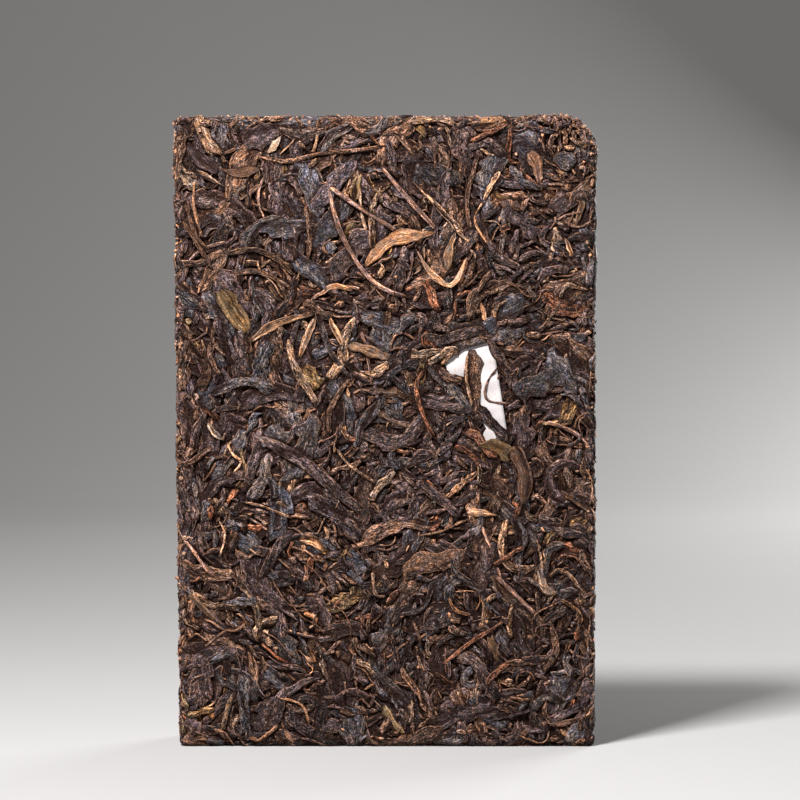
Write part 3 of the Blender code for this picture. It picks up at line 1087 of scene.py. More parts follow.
def leaves_mesh(name, side, kind_name, colours):
    """One closed skin round each leaf of a kind, as one mesh, or None where no such leaf shows."""
    numbers = [k for k, leaf in enumerate(side.leaves) if leaf.kind_name == kind_name]
    if not numbers:
        return None
    leaves = [side.leaves[k] for k in numbers]
    first, last, kept = showing(leaves, side.map, numbers, LEAST_SHOWING[side.name])
    leaves = [leaf for leaf, keep in zip(leaves, kept) if keep]
    first, last = first[kept], last[kept]
    u, v, z = (gathered(leaves, part) for part in "uvz")
    spots = side.place(u, v, side.map.pressed(u, v, z))
    which, where, corners, sizes = leaf_faces(u.shape, first, last)
    used, compact = np.unique(corners, return_inverse=True)
    mesh = new_mesh(name, spots.reshape(-1, 3)[used], compact, sizes)
    tints = np.array([tint_of(leaf, colours) for leaf in leaves])
    tints = np.repeat(tints, u[0].size, 0)
    # the folds' relief less how deep each point lies: painted shade in the material where it is low, painted
    # highlights where it is high
    relief = gathered(leaves, "relief") - side.map.hollow(u, v, z)
    seeds = np.broadcast_to(gathered(leaves, "seed")[:, None, None], u.shape)
    facts = np.stack([gathered(leaves, "inwards"), seeds, relief], -1).reshape(-1, 3)
    store(mesh, "leaf_tint", "FLOAT_COLOR", tints[used])
    store(mesh, "leaf_facts", "FLOAT_VECTOR", facts[used])
    add_leaf_maps(mesh, leaves, first, last, which, where)
    return mesh


def add_leaf_maps(mesh, leaves, first, last, which, where):
    """Two UV maps: leaf_uv in millimetres for the pattern, and OFBake, where each leaf has its own place."""
    lengths, widths = gathered(leaves, "length"), gathered(leaves, "width")
    kind = leaves[0].kind
    ring = kind.lanes + 2
    step = lengths / (kind.stations - 1)
    shown = (last - first) * step
    end_room, gap = 0.8, 0.002  # room for a cap at each end, and between the places of two leaves
    round_it = 1.25  # how far it is round a leaf, as a share of its width
    scale, corner = packed_rows(shown + 2 * end_room, widths * round_it, gap)
    turn = np.arange(ring)
    # how far round a leaf each of a ring's points lies, and how far across it, the last one at the seam
    level = np.concatenate([np.linspace(0, 0.8, kind.lanes), [0.87, 0.94, 1.0]])
    side_to_side = np.concatenate([lane_places(kind.lanes) / 2, [0.6, 0.7, 0.8]])
    along = np.stack([where, where + 1, where + 1, where], -1)[:, None, :]
    lane = np.stack([turn, turn, turn + 1, turn + 1], -1)[None, :, :]
    along, lane = np.broadcast_arrays(along, lane)
    pick = which[:, None, None]
    bake_x = corner[pick, 0] + scale * (end_room + (along - first[pick]) * step[pick])
    bake_y = corner[pick, 1] + scale * widths[pick] * round_it * level[lane]
    bake = np.stack([bake_x, bake_y], -1).reshape(-1, 2)
    pattern = np.stack([along * step[pick], side_to_side[lane] * widths[pick]], -1).reshape(-1, 2)
    # a cap is a small disc in the middle of the room at its end
    angle = 2 * math.pi * turn / ring
    cap_radius = 0.3
    disc = np.stack([np.cos(angle), np.sin(angle)], -1) * cap_radius * scale
    middle_y = corner[:, 1] + scale * widths * 0.6
    start = np.stack([corner[:, 0] + scale * end_room / 2, middle_y], -1)
    end = np.stack([corner[:, 0] + scale * (end_room * 1.5 + shown), middle_y], -1)
    caps = np.concatenate([start[:, None] + disc, end[:, None] + disc[::-1]]).reshape(-1, 2)
    cap_pattern = np.tile(disc / scale, (2 * len(leaves), 1))
    store(mesh, "leaf_uv", "FLOAT2", np.concatenate([pattern, cap_pattern]), "CORNER")
    store(mesh, "OFBake", "FLOAT2", np.concatenate([bake, caps]), "CORNER")


def sheet_mesh(name, spots, thickness):
    """A closed thin sheet from a grid of places: its outer skin, an inner one and the walls between."""
    rows, columns = spots.shape[:2]
    normal = unit(np.cross(np.gradient(spots, axis=0), np.gradient(spots, axis=1)))
    vertices = np.concatenate([spots, spots - normal * thickness]).reshape(-1, 3)
    outer = np.arange(rows * columns).reshape(rows, columns)
    inner = outer + rows * columns
    faces = [grid_faces(outer).reshape(-1, 4), grid_faces(inner, flip=True).reshape(-1, 4)]
    border = np.concatenate([outer[:, 0], outer[-1, 1:], outer[-2::-1, -1], outer[0, -2:0:-1]])
    following = np.roll(border, -1)
    faces.append(np.stack([border, border + rows * columns, following + rows * columns, following], -1))
    quads = np.concatenate(faces)
    mesh = quad_mesh(name, vertices, quads)
    place = np.indices((rows, columns)).reshape(2, -1).T / (np.array([rows, columns]) - 1)
    margin, half, wall = 0.02, np.array([0.46, 0.96]), 0.004  # of the map, for one skin and for a wall
    uv = np.concatenate([place * half + margin, place * half + np.array([0.5 + margin, margin])])[quads]
    walls = uv[-len(border) :]
    walls[:, 1:3] = walls[:, [0, 3]] + wall
    store(mesh, "OFBake", "FLOAT2", uv.reshape(-1, 2), "CORNER")
    return mesh


CORE_PITCH = 2.5  # spacing of the core's points, at least
CORE_FOOT = 0.5  # how far the core stays off the ground
CORE_WAVES = np.array([[0.55, 0.21, 0.43], [0.33, 0.71, -0.52], [1.1, -0.4, 0.9], [-0.8, 1.3, 1.2]])
CORE_WAVE_HEIGHT = 0.14  # how high each of these stands on its skin
CORE_MAP = [(0.72, 0), (0.84, 0), (0, 0), (0.36, 0), (0, 0.6), (0.36, 0.6)]  # a corner for each side


def rounded_core(places, low, high, sizes):
    """Places on a box's skin, moved in where its edges and its worn corner are round, and uneven."""
    edge, worn = sizes.edge / MM, sizes.worn / MM
    centre = np.array([high[0] - worn, 0, high[2] - worn])
    reach = places - centre
    reach[:, 1] = 0
    over = (reach[:, 0] > 0) & (reach[:, 2] > 0)
    straight = places.copy()
    straight[over, 0] = centre[0] + np.maximum(reach[:, 0], reach[:, 2])[over]
    straight[over, 2] = centre[2]
    inner = np.clip(straight, low + edge, high - edge)
    straight = inner + unit(straight - inner) * edge
    turned = centre + unit(reach) * (straight[:, :1] - centre[0])
    turned[:, 1] = straight[:, 1]
    bumps = sum(np.sin(straight @ wave + 3 * k) for k, wave in enumerate(CORE_WAVES)) * CORE_WAVE_HEIGHT
    uneven = straight + unit(straight - inner) * bumps[:, None]
    places = np.where(over[:, None], turned, uneven)
    places[:, 2] = np.maximum(places[:, 2], low[2])
    return places


def core_mesh(sizes):
    """A slab one core depth inside the leaves, with rounded edges and an uneven skin."""
    depth = sizes.core_depth / MM
    low, high = BLOCK_LOW + depth, BLOCK_HIGH - depth
    low[2] = CORE_FOOT
    counts = np.maximum(4, np.round((high - low) / CORE_PITCH).astype(int))
    lattice = np.indices(counts + 1)
    skin = ((lattice == 0) | (lattice == counts[:, None, None, None])).any(0)
    number = np.full(skin.shape, -1)
    number[skin] = np.arange(skin.sum())
    places = lattice[:, skin].T / counts * (high - low) + low
    places = rounded_core(places, low, high, sizes)
    x = lean(places[:, 0], places[:, 2], sizes)
    vertices = np.stack([x, places[:, 1], places[:, 2]], -1) * MM
    faces, maps = [], []
    per_mm = 0.5 / (high[2] - low[2])
    for axis in range(3):
        others = [k for k in range(3) if k != axis]
        for end in (0, 1):
            sheet = np.take(number, counts[axis] * end, axis)
            flip = (end == 0) ^ (axis == 1)
            faces.append(grid_faces(sheet, flip).reshape(-1, 4))
            grid = np.moveaxis(np.indices(sheet.shape), 0, -1)
            uv = grid / counts[others] * (high - low)[others] * per_mm
            uv = uv + np.array(CORE_MAP[2 * axis + end]) + 0.01
            maps.append(grid_faces(uv, flip).reshape(-1, 2))
    mesh = quad_mesh("pressed_core", vertices, np.concatenate(faces))
    store(mesh, "OFBake", "FLOAT2", np.concatenate(maps), "CORNER")
    return mesh


# ---------------------------------------------------------------- node trees


class Wire:
    """A value in a node tree. Arithmetic on wires adds the Math nodes that do it."""

    def __init__(self, nodes, socket):
        self.nodes = nodes
        self.socket = socket

    def math(self, operation, *values):
        return self.nodes.node("ShaderNodeMath", {"operation": operation}, dict(enumerate(values)))

    def __add__(self, other):
        return self.math("ADD", self, other)

    def __mul__(self, other):
        return self.math("MULTIPLY", self, other)

    def __sub__(self, other):
        return self.math("SUBTRACT", self, other)

    def __rsub__(self, other):
        return self.math("SUBTRACT", other, self)

    def __abs__(self):
        return self.math("ABSOLUTE", self)

    __radd__ = __add__
    __rmul__ = __mul__


class Nodes:
    """The nodes of a tree."""

    def __init__(self, tree):
        self.tree = tree

    def node(self, kind, settings, sockets, output=0):
        """Adds a node: its settings first, then the values or wires of its sockets."""
        node = self.tree.nodes.new(kind)
        for name, value in settings.items():
            setattr(node, name, value)
        for name, value in sockets.items():
            self.plug(node.inputs[name], value)
        return Wire(self, node.outputs[output])

    def plug(self, socket, value):
        """Gives a socket its value or wire. A colour of three parts gets a full fourth one."""
        if isinstance(value, Wire):
            self.tree.links.new(value.socket, socket)
        elif hasattr(value, "__len__") and not isinstance(value, str):
            wanted = len(socket.default_value)
            socket.default_value = (tuple(value) + (1.0,))[:wanted]
        else:
            socket.default_value = value

    def vectors(self, operation, sockets, output=0):
        return self.node("ShaderNodeVectorMath", {"operation": operation}, sockets, output)

    def scaled(self, vector, amount):
        return self.vectors("SCALE", {0: vector, 3: amount})


class GeometryNodes(Nodes):
    """A node tree that works on one mesh, the bed."""

    def __init__(self, name):
        super().__init__(bpy.data.node_groups.new(name, "GeometryNodeTree"))
        self.inputs = {}
        self.add_input("Bed", "NodeSocketGeometry")
        self.tree.interface.new_socket("Crumbs", in_out="OUTPUT", socket_type="NodeSocketGeometry")
        self.start = self.tree.nodes.new("NodeGroupInput")
        self.end = self.tree.nodes.new("NodeGroupOutput")

    def add_input(self, name, kind, default=None):
        socket = self.tree.interface.new_socket(name, in_out="INPUT", socket_type=kind)
        if default is not None:
            socket.default_value = default
        self.inputs[name] = socket.identifier

    def given(self, name):
        return Wire(self, self.start.outputs[name])

    def random_number(self, low, high, seed):
        sockets = {2: low, 3: high, "Seed": seed}
        return self.node("FunctionNodeRandomValue", {"data_type": "FLOAT"}, sockets, 1)

    def random_vector(self, low, high, seed):
        sockets = {0: low, 1: high, "Seed": seed}
        return self.node("FunctionNodeRandomValue", {"data_type": "FLOAT_VECTOR"}, sockets)


class MaterialNodes(Nodes):
    """A material's nodes."""

    def __init__(self, name):
        self.material = bpy.data.materials.new(name)
        self.material.use_nodes = True
        super().__init__(self.material.node_tree)
        self.shader = self.tree.nodes["Principled BSDF"]

    def set(self, **values):
        """Values or wires for the shader's own sockets, with their spaces written as underscores."""
        for name, value in values.items():
            self.plug(self.shader.inputs[name.replace("_", " ")], value)

    def places(self):
        """Places on the piece, in millimetres."""
        at = self.node("ShaderNodeTexCoord", {}, {}, 3)
        return self.scaled(at, 1 / MM)

    def attribute(self, name, output):
        return self.node("ShaderNodeAttribute", {"attribute_name": name}, {}, output)

    def split(self, vector):
        node = self.node("ShaderNodeSeparateXYZ", {}, {0: vector}).socket.node
        return [Wire(self, output) for output in node.outputs]

    def joined(self, x, y, z):
        return self.node("ShaderNodeCombineXYZ", {}, {0: x, 1: y, 2: z})

    def times(self, first, second):
        return self.vectors("MULTIPLY", {0: first, 1: second})

    def noise(self, vector, scale, detail=2.0, roughness=0.5):
        sockets = {"Vector": vector, "Scale": scale, "Detail": detail, "Roughness": roughness}
        return self.node("ShaderNodeTexNoise", {}, sockets)

    def rise(self, value, low, high):
        """0 below low, 1 above high and smooth between."""
        sockets = {"Value": value, "From Min": low, "From Max": high}
        return self.node("ShaderNodeMapRange", {"interpolation_type": "SMOOTHSTEP"}, sockets)

    def lines(self, vector, detail, roughness, low, high):
        """Thin lines between the cells of a noise: 0 on them, 1 away from them."""
        return self.rise(abs(self.noise(vector, 1.0, detail, roughness) - 0.5), low, high)

    def near(self, places, spot, low, high):
        """1 nearer than low to a spot of the front, and 0 further away than high."""
        flat = self.times(places, (1, 0, 1))
        return 1 - self.rise(self.vectors("DISTANCE", {0: flat, 1: spot}, 1), low, high)

    def mix(self, factor, first, second):
        return self.node("ShaderNodeMix", {"data_type": "RGBA"}, {0: factor, 6: first, 7: second}, 2)

    def bump(self, height, strength, distance):
        sockets = {"Height": height, "Strength": strength, "Distance": distance * MM}
        self.set(Normal=self.node("ShaderNodeBump", {}, sockets))


# ---------------------------------------------------------------- crumbs


CRUMB_FACES = 20
BED_PITCH = 1.5  # spacing of the bed's points
BED_RISE = 0.25  # how far the bed lies over the level of the leaves
FOOT_ROOM = 2.0  # no crumbs lie lower than this


def bed_mesh():
    """The settled surface of every side as a plain grid, with how many crumbs lie on each part of it."""
    places, amounts, faces = [], [], []
    for side in LAID.values():
        low = side.map.low + FACE_MARGIN - BED_PITCH
        high = side.map.low + np.array(side.map.cells) * CELL - FACE_MARGIN + BED_PITCH
        u, v = np.meshgrid(*(np.arange(a, b, BED_PITCH) for a, b in zip(low, high)), indexing="ij")
        height = side.map.read(side.map.fine, u, v)
        spots = side.place(u, v, side.map.pressed(u, v, height + BED_RISE))
        iu, iv, _ = side.map.index(u, v)
        bare = side.map.kept_free[iu, iv] | (spots[..., 2] < FOOT_ROOM * MM)
        number = np.arange(u.size).reshape(u.shape) + sum(len(part) for part in places)
        faces.append(grid_faces(number).reshape(-1, 4))
        places.append(spots.reshape(-1, 3))
        amounts.append(np.where(bare, 0.0, side.crumbs(u, v)).ravel())
    mesh = quad_mesh("crumb_bed", np.concatenate(places), np.concatenate(faces))
    store(mesh, "crumbs_here", "FLOAT", np.concatenate(amounts))
    return mesh


def crumb_tree(material):
    """Crumbs scattered over a bed: rough lumps, each turned, sized and dented in its own way."""
    t = GeometryNodes("crumbs")
    t.add_input("Amount", "NodeSocketFloat", 1.0)
    t.add_input("Smallest", "NodeSocketFloat", 0.4 * MM)
    t.add_input("Largest", "NodeSocketFloat", 1.9 * MM)
    t.add_input("Seed", "NodeSocketInt", 0)
    seed = t.given("Seed")
    here = t.node("GeometryNodeInputNamedAttribute", {"data_type": "FLOAT"}, {"Name": "crumbs_here"})
    points = t.node(
        "GeometryNodeDistributePointsOnFaces",
        {"distribute_method": "RANDOM"},
        {"Mesh": t.given("Bed"), "Density": here * t.given("Amount"), "Seed": seed},
    )
    turn = t.random_vector((0, 0, 0), (2 * math.pi,) * 3, seed)
    stretch = t.random_vector((0.7, 0.5, 0.25), (1.9, 1.0, 0.5), 0)
    scale = t.scaled(stretch, t.random_number(t.given("Smallest"), t.given("Largest"), seed))
    lump = t.node("GeometryNodeMeshIcoSphere", {}, {"Radius": 0.5, "Subdivisions": 1})
    lumps = {"Points": points, "Instance": lump, "Rotation": turn, "Scale": scale}
    crumbs = t.node("GeometryNodeInstanceOnPoints", {}, lumps)
    crumbs = t.node(
        "GeometryNodeStoreNamedAttribute",
        {"data_type": "FLOAT", "domain": "INSTANCE"},
        {"Geometry": crumbs, "Name": "crumb_chance", "Value": t.random_number(0.0, 1.0, 5)},
    )
    crumbs = t.node("GeometryNodeRealizeInstances", {}, {"Geometry": crumbs})
    dent = t.node("ShaderNodeTexNoise", {}, {"Scale": 1400.0, "Detail": 0.0}, 1)
    dent = t.scaled(t.vectors("SUBTRACT", {0: dent, 1: (0.5, 0.5, 0.5)}), 0.7 * MM)
    crumbs = t.node("GeometryNodeSetPosition", {}, {"Geometry": crumbs, "Offset": dent})
    crumbs = t.node("GeometryNodeSetMaterial", {}, {"Geometry": crumbs, "Material": material})
    t.plug(t.end.inputs["Crumbs"], crumbs)
    return t


def scatter_crumbs(sizes, material):
    """All the crumbs as one plain mesh."""
    tree = crumb_tree(material)
    bed = bpy.data.objects.new("crumb_bed", bed_mesh())
    bpy.context.scene.collection.objects.link(bed)
    modifier = bed.modifiers.new("crumbs", "NODES")
    modifier.node_group = tree.tree
    modifier[tree.inputs["Amount"]] = 1.0 / MM**2
    modifier[tree.inputs["Seed"]] = sizes.seed
    graph = bpy.context.evaluated_depsgraph_get()
    mesh = bpy.data.meshes.new_from_object(bed.evaluated_get(graph), depsgraph=graph)
    mesh.name = "leaf_crumbs"
    mesh.materials.pop(index=0)  # the empty slot that the lumps start with
    old = bed.data
    bed.modifiers.remove(modifier)
    bpy.data.objects.remove(bed)
    bpy.data.meshes.remove(old)
    add_crumb_maps(mesh)
    return mesh


def add_crumb_maps(mesh):
    """The OFBake map: a square for each crumb, and in it a small triangle for each of its faces."""
    for layer in list(mesh.uv_layers):
        mesh.uv_layers.remove(layer)
    count = len(mesh.polygons)
    face = np.arange(count)
    crumb, part = face // CRUMB_FACES, face % CRUMB_FACES
    across = math.ceil(math.sqrt(count / CRUMB_FACES))
    cell = np.stack([crumb % across, crumb // across], -1) / across
    corner = cell + np.stack([part % 5, part // 5], -1) / (5 * across)
    triangle = np.array([[0.1, 0.1], [0.9, 0.1], [0.5, 0.9]]) / (5 * across)
    store(mesh, "OFBake", "FLOAT2", corner[:, None] + triangle[None], "CORNER")


# ---------------------------------------------------------------- materials


@dataclass(frozen=True)
class Skin:
    """How a leaf's surface looks. The spacings are in millimetres."""

    along: float  # length of its creases
    across: float  # spacing of its creases
    crumple: float  # how deep and dark they are, the dark partly painted shade; the painted glints grow with it too
    depth: float  # how deep and dark they are
    crests: float  # how much painted highlight its crests show, and how many light flecks it has
    margin: float  # how light its margins are
    sheen: float  # roughness where it is smoothest


SKINS = {
    "rolled leaf": Skin(along=8, across=0.9, crumple=0.4, depth=1, crests=0.65, margin=0.8, sheen=0.36),
    "flat leaf": Skin(along=8, across=1.3, crumple=0.6, depth=0.8, crests=0.35, margin=0.9, sheen=0.36),
    "open leaf": Skin(along=20, across=0.6, crumple=0.35, depth=0.58, crests=0.25, margin=0.35, sheen=0.46),
    "stem": Skin(along=12, across=0.6, crumple=0.1, depth=0.7, crests=0.3, margin=0.2, sheen=0.38),
}
SKIN_OF_KIND = {"flat": "flat leaf", "leaf": "open leaf", "stem": "stem"}


def leaf_material(name, skin, colours):
    """Dry pressed leaf: a mottled skin with a few creases dark partly with painted shade, crests with
    painted highlights, light margins, and gaps dark with painted shade.
    """
    n = MaterialNodes(name)
    tint = n.attribute("leaf_tint", 0)
    inwards, seed, relief = n.split(n.attribute("leaf_facts", 1))
    along, across, _ = n.split(n.node("ShaderNodeUVMap", {"uv_map": "leaf_uv"}, {}))
    places = n.places()
    across = across + (n.noise(places, 0.45, 2.0) - 0.5) * 1.8
    own = seed * 60

    def drawn_out(length, width, start):
        """Places that draw a pattern out along a leaf. Another start gives another pattern."""
        return n.joined(along * (length / skin.along), across * (width / skin.across), start)

    # creases, fine lines and cracks that run along a leaf
    streaks = n.rise(n.noise(drawn_out(1, 0.75, own), 1.0, 1.0, 0.5), 0.36, 0.62)
    grain = n.lines(drawn_out(2.2, 2.0, own + 9), 2.0, 0.6, 0.0, 0.07)
    crack = n.lines(drawn_out(0.8, 0.5, own + 21), 2.0, 0.5, 0.002, 0.03)
    # patches from large to small: where it is lighter, where it is cooler, where it has a bloom
    region = n.rise(n.noise(places, 0.03, 2.0), 0.35, 0.65)
    blotches = n.noise(places, 0.22, 3.0, 0.6)
    bloom = n.rise(blotches, 0.45, 0.64)
    cool = n.rise(n.noise(places, 0.42, 3.0, 0.6), 0.40, 0.60)
    mottle = n.rise(n.noise(places, 0.9, 3.0, 0.65), 0.36, 0.62)
    specks = n.rise(n.noise(places, 2.6, 2.0, 0.6), 0.34, 0.66)
    folds = streaks * (1 - skin.crumple) + mottle * skin.crumple
    # how light each place is: the leaf's own mottle and specks, and its creases, lines and cracks darkened
    # partly as the leaf's grain and partly as painted shade, lighter between them partly as painted light;
    # more contrast on the deeper skins
    light = (0.28 + folds * 0.84) * (0.10 + grain * 1.06) * (0.56 + specks * 0.70) * (0.05 + crack * 0.95)
    light = light * (0.42 + light * 0.93)
    light = light * (1.15 * skin.depth) + 0.70 * (1 - skin.depth)
    # the leaf's own colour, dry and light at the worn corner
    tint = n.times(tint, n.mix(cool, (1.12, 1.03, 0.84), (0.88, 1.00, 1.14)))
    dry = n.near(places, (HALF_WIDTH, 0, HEIGHT), 6, CRUMBLED_REACH) * n.rise(specks, 0.2, 0.8)
    tint = n.mix(dry * 0.7, tint, n.times(tint, (2.1, 1.9, 1.6)))
    colour = n.scaled(tint, light * (1 + bloom * 0.7) * (0.80 + region * 0.45))
    # rusty margins and flecks
    edge = (1 - n.rise(inwards, 0.12, 0.42)) * n.rise(n.noise(places, 0.5, 3.0, 0.6), 0.40, 0.54)
    flecks = n.rise(n.noise(places, 1.1, 3.0, 0.65), 0.56, 0.66) * n.rise(blotches, 0.40, 0.58) * grain
    rusty = edge * skin.margin * (0.35 + specks * 0.65) + flecks * skin.crests
    colour = n.mix(rusty * 0.9, colour, n.mix(0.45, colours.rust, n.scaled(tint, 2.6)))
    # painted highlights: pale crests and glints
    crest = n.rise(folds * grain + relief * 0.5, 0.62, 1.10) * specks
    glint = n.rise(n.noise(places, 3.2, 1.0, 0.5), 0.60, 0.70) * grain * skin.depth
    pale = crest * skin.crests * n.rise(blotches, 0.34, 0.60) + glint * 0.55
    colour = n.mix(pale, colour, n.mix(0.35, colours.crest, n.scaled(tint, 2.4)))
    # dark gaps: painted shade wherever a point lies low in its folds, below its surroundings or under a
    # leaf's margins
    gap = n.rise(0 - relief, -0.09, 0.34) * (1.0 - grain * folds * 0.26)
    colour = n.mix(gap, colour, colours.deep)
    roughness = skin.sheen + (1 - folds) * 0.14 + (1 - specks) * 0.10
    n.set(Base_Color=colour, Roughness=roughness, Specular_IOR_Level=0.10)
    n.bump(folds * 0.5 + grain * 0.26 + specks * 0.12 + crack * 0.25, 1.0, 1.0 * skin.depth)
    return n.material


def core_material(colours):
    """The dark mass that the leaves lie on, dark partly with painted shade."""
    n = MaterialNodes("pressed core")
    places = n.places()
    crumbs = n.noise(places, 1.5, 4.0, 0.7)
    flecks = n.rise(n.noise(places, 2.8, 2.0, 0.6), 0.58, 0.68)
    brown = tuple(0.8 * part for part in colours.brown)
    colour = n.mix(n.rise(crumbs, 0.44, 0.66), colours.core, brown)
    colour = n.mix(flecks * 0.45, colour, colours.tan)
    n.set(Base_Color=colour, Roughness=0.75, Specular_IOR_Level=0.10)
    n.bump(crumbs, 1.0, 0.8)
    return n.material


def crumb_material(colours):
    """Crumbs of leaf and stem, most of them dark, some brown and a few light."""
    n = MaterialNodes("leaf crumbs")
    chance = n.attribute("crumb_chance", 2)
    places = n.places()
    specks = n.noise(places, 2.0, 2.0, 0.6)
    colour = n.mix(n.rise(chance, 0.30, 0.50), colours.dark, colours.brown)
    colour = n.mix(n.rise(chance, 0.62, 0.72), colour, colours.tan)
    colour = n.mix(n.rise(chance, 0.90, 0.93), colour, colours.golden)
    colour = n.scaled(colour, n.rise(specks, 0.3, 0.7) * 0.9 + 0.5)
    n.set(Base_Color=colour, Roughness=0.5, Specular_IOR_Level=0.12)
    n.bump(specks, 1.0, 0.3)
    return n.material


def paper_material(colours):
    """Thin uncoated paper with soft creases and fine fibres."""
    n = MaterialNodes("slip paper")
    places = n.places()
    pulp = n.noise(places, 1.6, 4.0, 0.6)
    stains = n.noise(places, 0.16, 3.0, 0.6)
    fine = n.noise(places, 7.0, 2.0, 0.5)
    shade = n.rise(stains, 0.48, 0.72) * 0.35 + n.rise(pulp, 0.55, 0.85) * 0.12
    dust = n.rise(n.noise(places, 1.1, 3.0, 0.7), 0.56, 0.66) * 0.45
    warm = tuple(part * weight for part, weight in zip(colours.paper, (0.93, 0.86, 0.76)))
    colour = n.mix(dust, n.mix(shade, colours.paper, warm), colours.rust)
    n.set(Base_Color=colour, Roughness=0.78)
    n.bump(pulp * 0.5 + fine * 0.5, 0.5, 0.12)
    return n.material


# ---------------------------------------------------------------- operators


def settings():
    scene = bpy.context.scene
    return scene.tea_brick_sizes, scene.tea_brick_colours, scene.tea_brick_stage


class TEABRICK_OT_lay(bpy.types.Operator):
    """Lay all the leaves on the maps of the front, the back and the band"""

    bl_idname = "teabrick.lay"
    bl_label = "Lay leaves"

    def execute(self, context):
        sizes = settings()[0]
        LAID["front"] = lay_face("front", -1, sizes, np.random.default_rng(sizes.seed))
        LAID["back"] = lay_face("back", 1, sizes, np.random.default_rng(sizes.seed + 1))
        LAID["band"] = lay_band(sizes, np.random.default_rng(sizes.seed + 2))
        return {"FINISHED"}


class TEABRICK_OT_core(bpy.types.Operator):
    """Make the dark core below the leaves"""

    bl_idname = "teabrick.core"
    bl_label = "Core"

    def execute(self, context):
        sizes, colours, _ = settings()
        core = add_piece("pressed_core", core_mesh(sizes), core_material(colours))
        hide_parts("tea_block")
        return {"FINISHED"}


class TEABRICK_OT_leaves(bpy.types.Operator):
    """Make the leaves of each kind on each side"""

    bl_idname = "teabrick.leaves"
    bl_label = "Leaves"

    def execute(self, context):
        _, colours, _ = settings()
        materials = {name: leaf_material(name, skin, colours) for name, skin in SKINS.items()}
        for side in LAID.values():
            for kind_name in KINDS:
                name = f"{kind_name}_leaves_{side.name}"
                mesh = leaves_mesh(name, side, kind_name, colours)
                if mesh:
                    material = materials[SKIN_OF_KIND.get(kind_name, "rolled leaf")]
                    add_piece(name, mesh, material)
        return {"FINISHED"}


class TEABRICK_OT_crumbs(bpy.types.Operator):
    """Scatter crumbs over the leaves, most of them at the worn corner and the edges"""

    bl_idname = "teabrick.crumbs"
    bl_label = "Crumbs"

    def execute(self, context):
        sizes, colours, _ = settings()
        mesh = scatter_crumbs(sizes, crumb_material(colours))
        add_piece("leaf_crumbs", mesh, None)
        return {"FINISHED"}


class TEABRICK_OT_slip(bpy.types.Operator):
    """Make the blank paper slip among the front's leaves"""

    bl_idname = "teabrick.slip"
    bl_label = "Paper slip"

    def execute(self, context):
        sizes, colours, _ = settings()
        front = LAID["front"]
        u, v = slip_places(sizes, SLIP_PITCH)
        spots = front.place(u, v, front.map.pressed(u, v, slip_level(front, u, v)))
        mesh = sheet_mesh("blank_slip", spots, 0.1 * MM)
        slip = add_piece("blank_slip", mesh, paper_material(colours))
        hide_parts("paper_slip")
        return {"FINISHED"}


def stage_material(colour):
    n = MaterialNodes("floor")
    mottle = n.noise(n.places(), 0.004, 3.0, 0.6)
    dim = tuple(0.94 * part for part in colour)
    n.set(Base_Color=n.mix(mottle, colour, dim), Roughness=0.9)
    return n.material


def add_floor(colour):
    """A floor that curves up into a backdrop, behind the brick and far in front of it."""
    width, front, back, rise, radius = 3.0, -2.8, 1.6, 2.2, 0.6
    bend = [(radius * math.sin(a), radius - radius * math.cos(a)) for a in np.linspace(0, math.pi / 2, 17)]
    profile = [(front, rise)]
    profile += [(front + radius - across, up) for across, up in reversed(bend)]
    profile += [(back - radius + across, up) for across, up in bend]
    profile.append((back, rise))
    bm = bmesh.new()
    rows = [[bm.verts.new((side * width, y, z)) for y, z in profile] for side in (-1, 1)]
    for a, b, c, d in zip(rows[0], rows[1], rows[1][1:], rows[0][1:]):
        bm.faces.new((a, b, c, d))
    mesh = bpy.data.meshes.new("floor")
    bm.to_mesh(mesh)
    bm.free()
    mesh.shade_smooth()
    mesh.materials.append(stage_material(colour))
    floor = bpy.data.objects.new("floor", mesh)
    bpy.context.scene.collection.objects.link(floor)


def add_light(name, power, size, place, colour):
    """A square light that faces the middle of the brick, and that no camera sees."""
    light = bpy.data.lights.new(name, "AREA")
    light.energy = power
    light.size = size
    light.color = colour
    lamp = bpy.data.objects.new(name, light)
    lamp.location = place
    aim = Vector((0, 0, HEIGHT / 2 * MM))
    lamp.rotation_euler = (aim - Vector(place)).to_track_quat("-Z", "Y").to_euler()
    lamp.visible_camera = False
    bpy.context.scene.collection.objects.link(lamp)


def add_room_light(strength):
    """Dim warm light from all round."""
    world = bpy.data.worlds.new("room")
    world.use_nodes = True
    background = world.node_tree.nodes["Background"]
    background.inputs["Color"].default_value = (1.0, 0.78, 0.66, 1.0)
    background.inputs["Strength"].default_value = strength
    bpy.context.scene.world = world


def add_camera(distance):
    """Straight on to the front and a little above, with the brick just over half the picture wide."""
    elevation = math.radians(2.8)
    brick_share = 0.526
    aim = Vector((5.4 * MM, -HALF_DEPTH * MM, (HEIGHT / 2 + 11.8) * MM))
    camera = bpy.data.cameras.new("camera")
    camera.sensor_width = 36
    camera.lens = camera.sensor_width * distance / (2 * HALF_WIDTH * MM / brick_share)
    camera.clip_start = 0.05
    stand = bpy.data.objects.new("camera", camera)
    stand.location = aim + Vector((0, -math.cos(elevation), math.sin(elevation))) * distance
    stand.rotation_euler = (aim - stand.location).to_track_quat("-Z", "Y").to_euler()
    bpy.context.scene.collection.objects.link(stand)
    bpy.context.scene.camera = stand


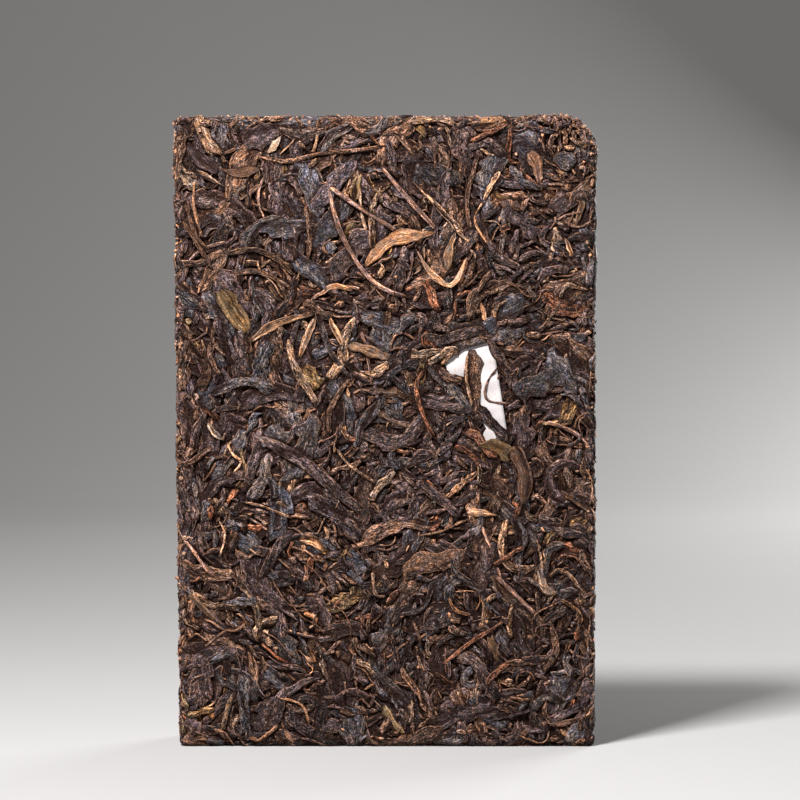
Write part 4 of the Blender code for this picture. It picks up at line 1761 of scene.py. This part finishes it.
class TEABRICK_OT_stage(bpy.types.Operator):
    """Set up the pale floor, the soft lights and the camera"""

    bl_idname = "teabrick.stage"
    bl_label = "Stage"

    def execute(self, context):
        look = settings()[2]
        add_floor(look.floor)
        add_light("key", look.key, 0.18, (-0.24, -0.42, 0.80), (1.0, 0.99, 1.0))
        add_light("fill", look.fill, 0.8, (1.0, -1.0, 0.5), (1.0, 0.92, 0.88))
        add_light("back", look.back, 0.7, (0.80, 1.10, 0.42), (1.0, 1.0, 1.0))
        add_room_light(look.air)
        add_camera(look.distance)
        context.scene.view_settings.view_transform = "Standard"
        return {"FINISHED"}


STEPS = (
    TEABRICK_OT_lay, TEABRICK_OT_core, TEABRICK_OT_leaves, TEABRICK_OT_crumbs, TEABRICK_OT_slip,
    TEABRICK_OT_stage,
)


class TEABRICK_PT_panel(bpy.types.Panel):
    """The tea brick's steps and settings"""

    bl_idname = "TEABRICK_PT_panel"
    bl_label = "Tea brick"
    bl_space_type = "VIEW_3D"
    bl_region_type = "UI"
    bl_category = "Tea brick"

    def draw(self, context):
        for step in STEPS:
            self.layout.operator(step.bl_idname)
        for group in settings():
            for name in group.__annotations__:
                self.layout.prop(group, name)


GROUPS = {"tea_brick_sizes": BrickSizes, "tea_brick_colours": LeafColours, "tea_brick_stage": StageLook}


def register():
    for group in GROUPS.values():
        bpy.utils.register_class(group)
    for name, group in GROUPS.items():
        setattr(bpy.types.Scene, name, PointerProperty(type=group))
    for step in STEPS:
        bpy.utils.register_class(step)
    bpy.utils.register_class(TEABRICK_PT_panel)


def unregister():
    bpy.utils.unregister_class(TEABRICK_PT_panel)
    for step in reversed(STEPS):
        bpy.utils.unregister_class(step)
    for name, group in GROUPS.items():
        delattr(bpy.types.Scene, name)
        bpy.utils.unregister_class(group)


def main():
    register()
    bpy.ops.teabrick.lay()
    bpy.ops.teabrick.core()
    bpy.ops.teabrick.leaves()
    bpy.ops.teabrick.crumbs()
    bpy.ops.teabrick.slip()
    bpy.ops.teabrick.stage()


if __name__ == "__main__":
    main()
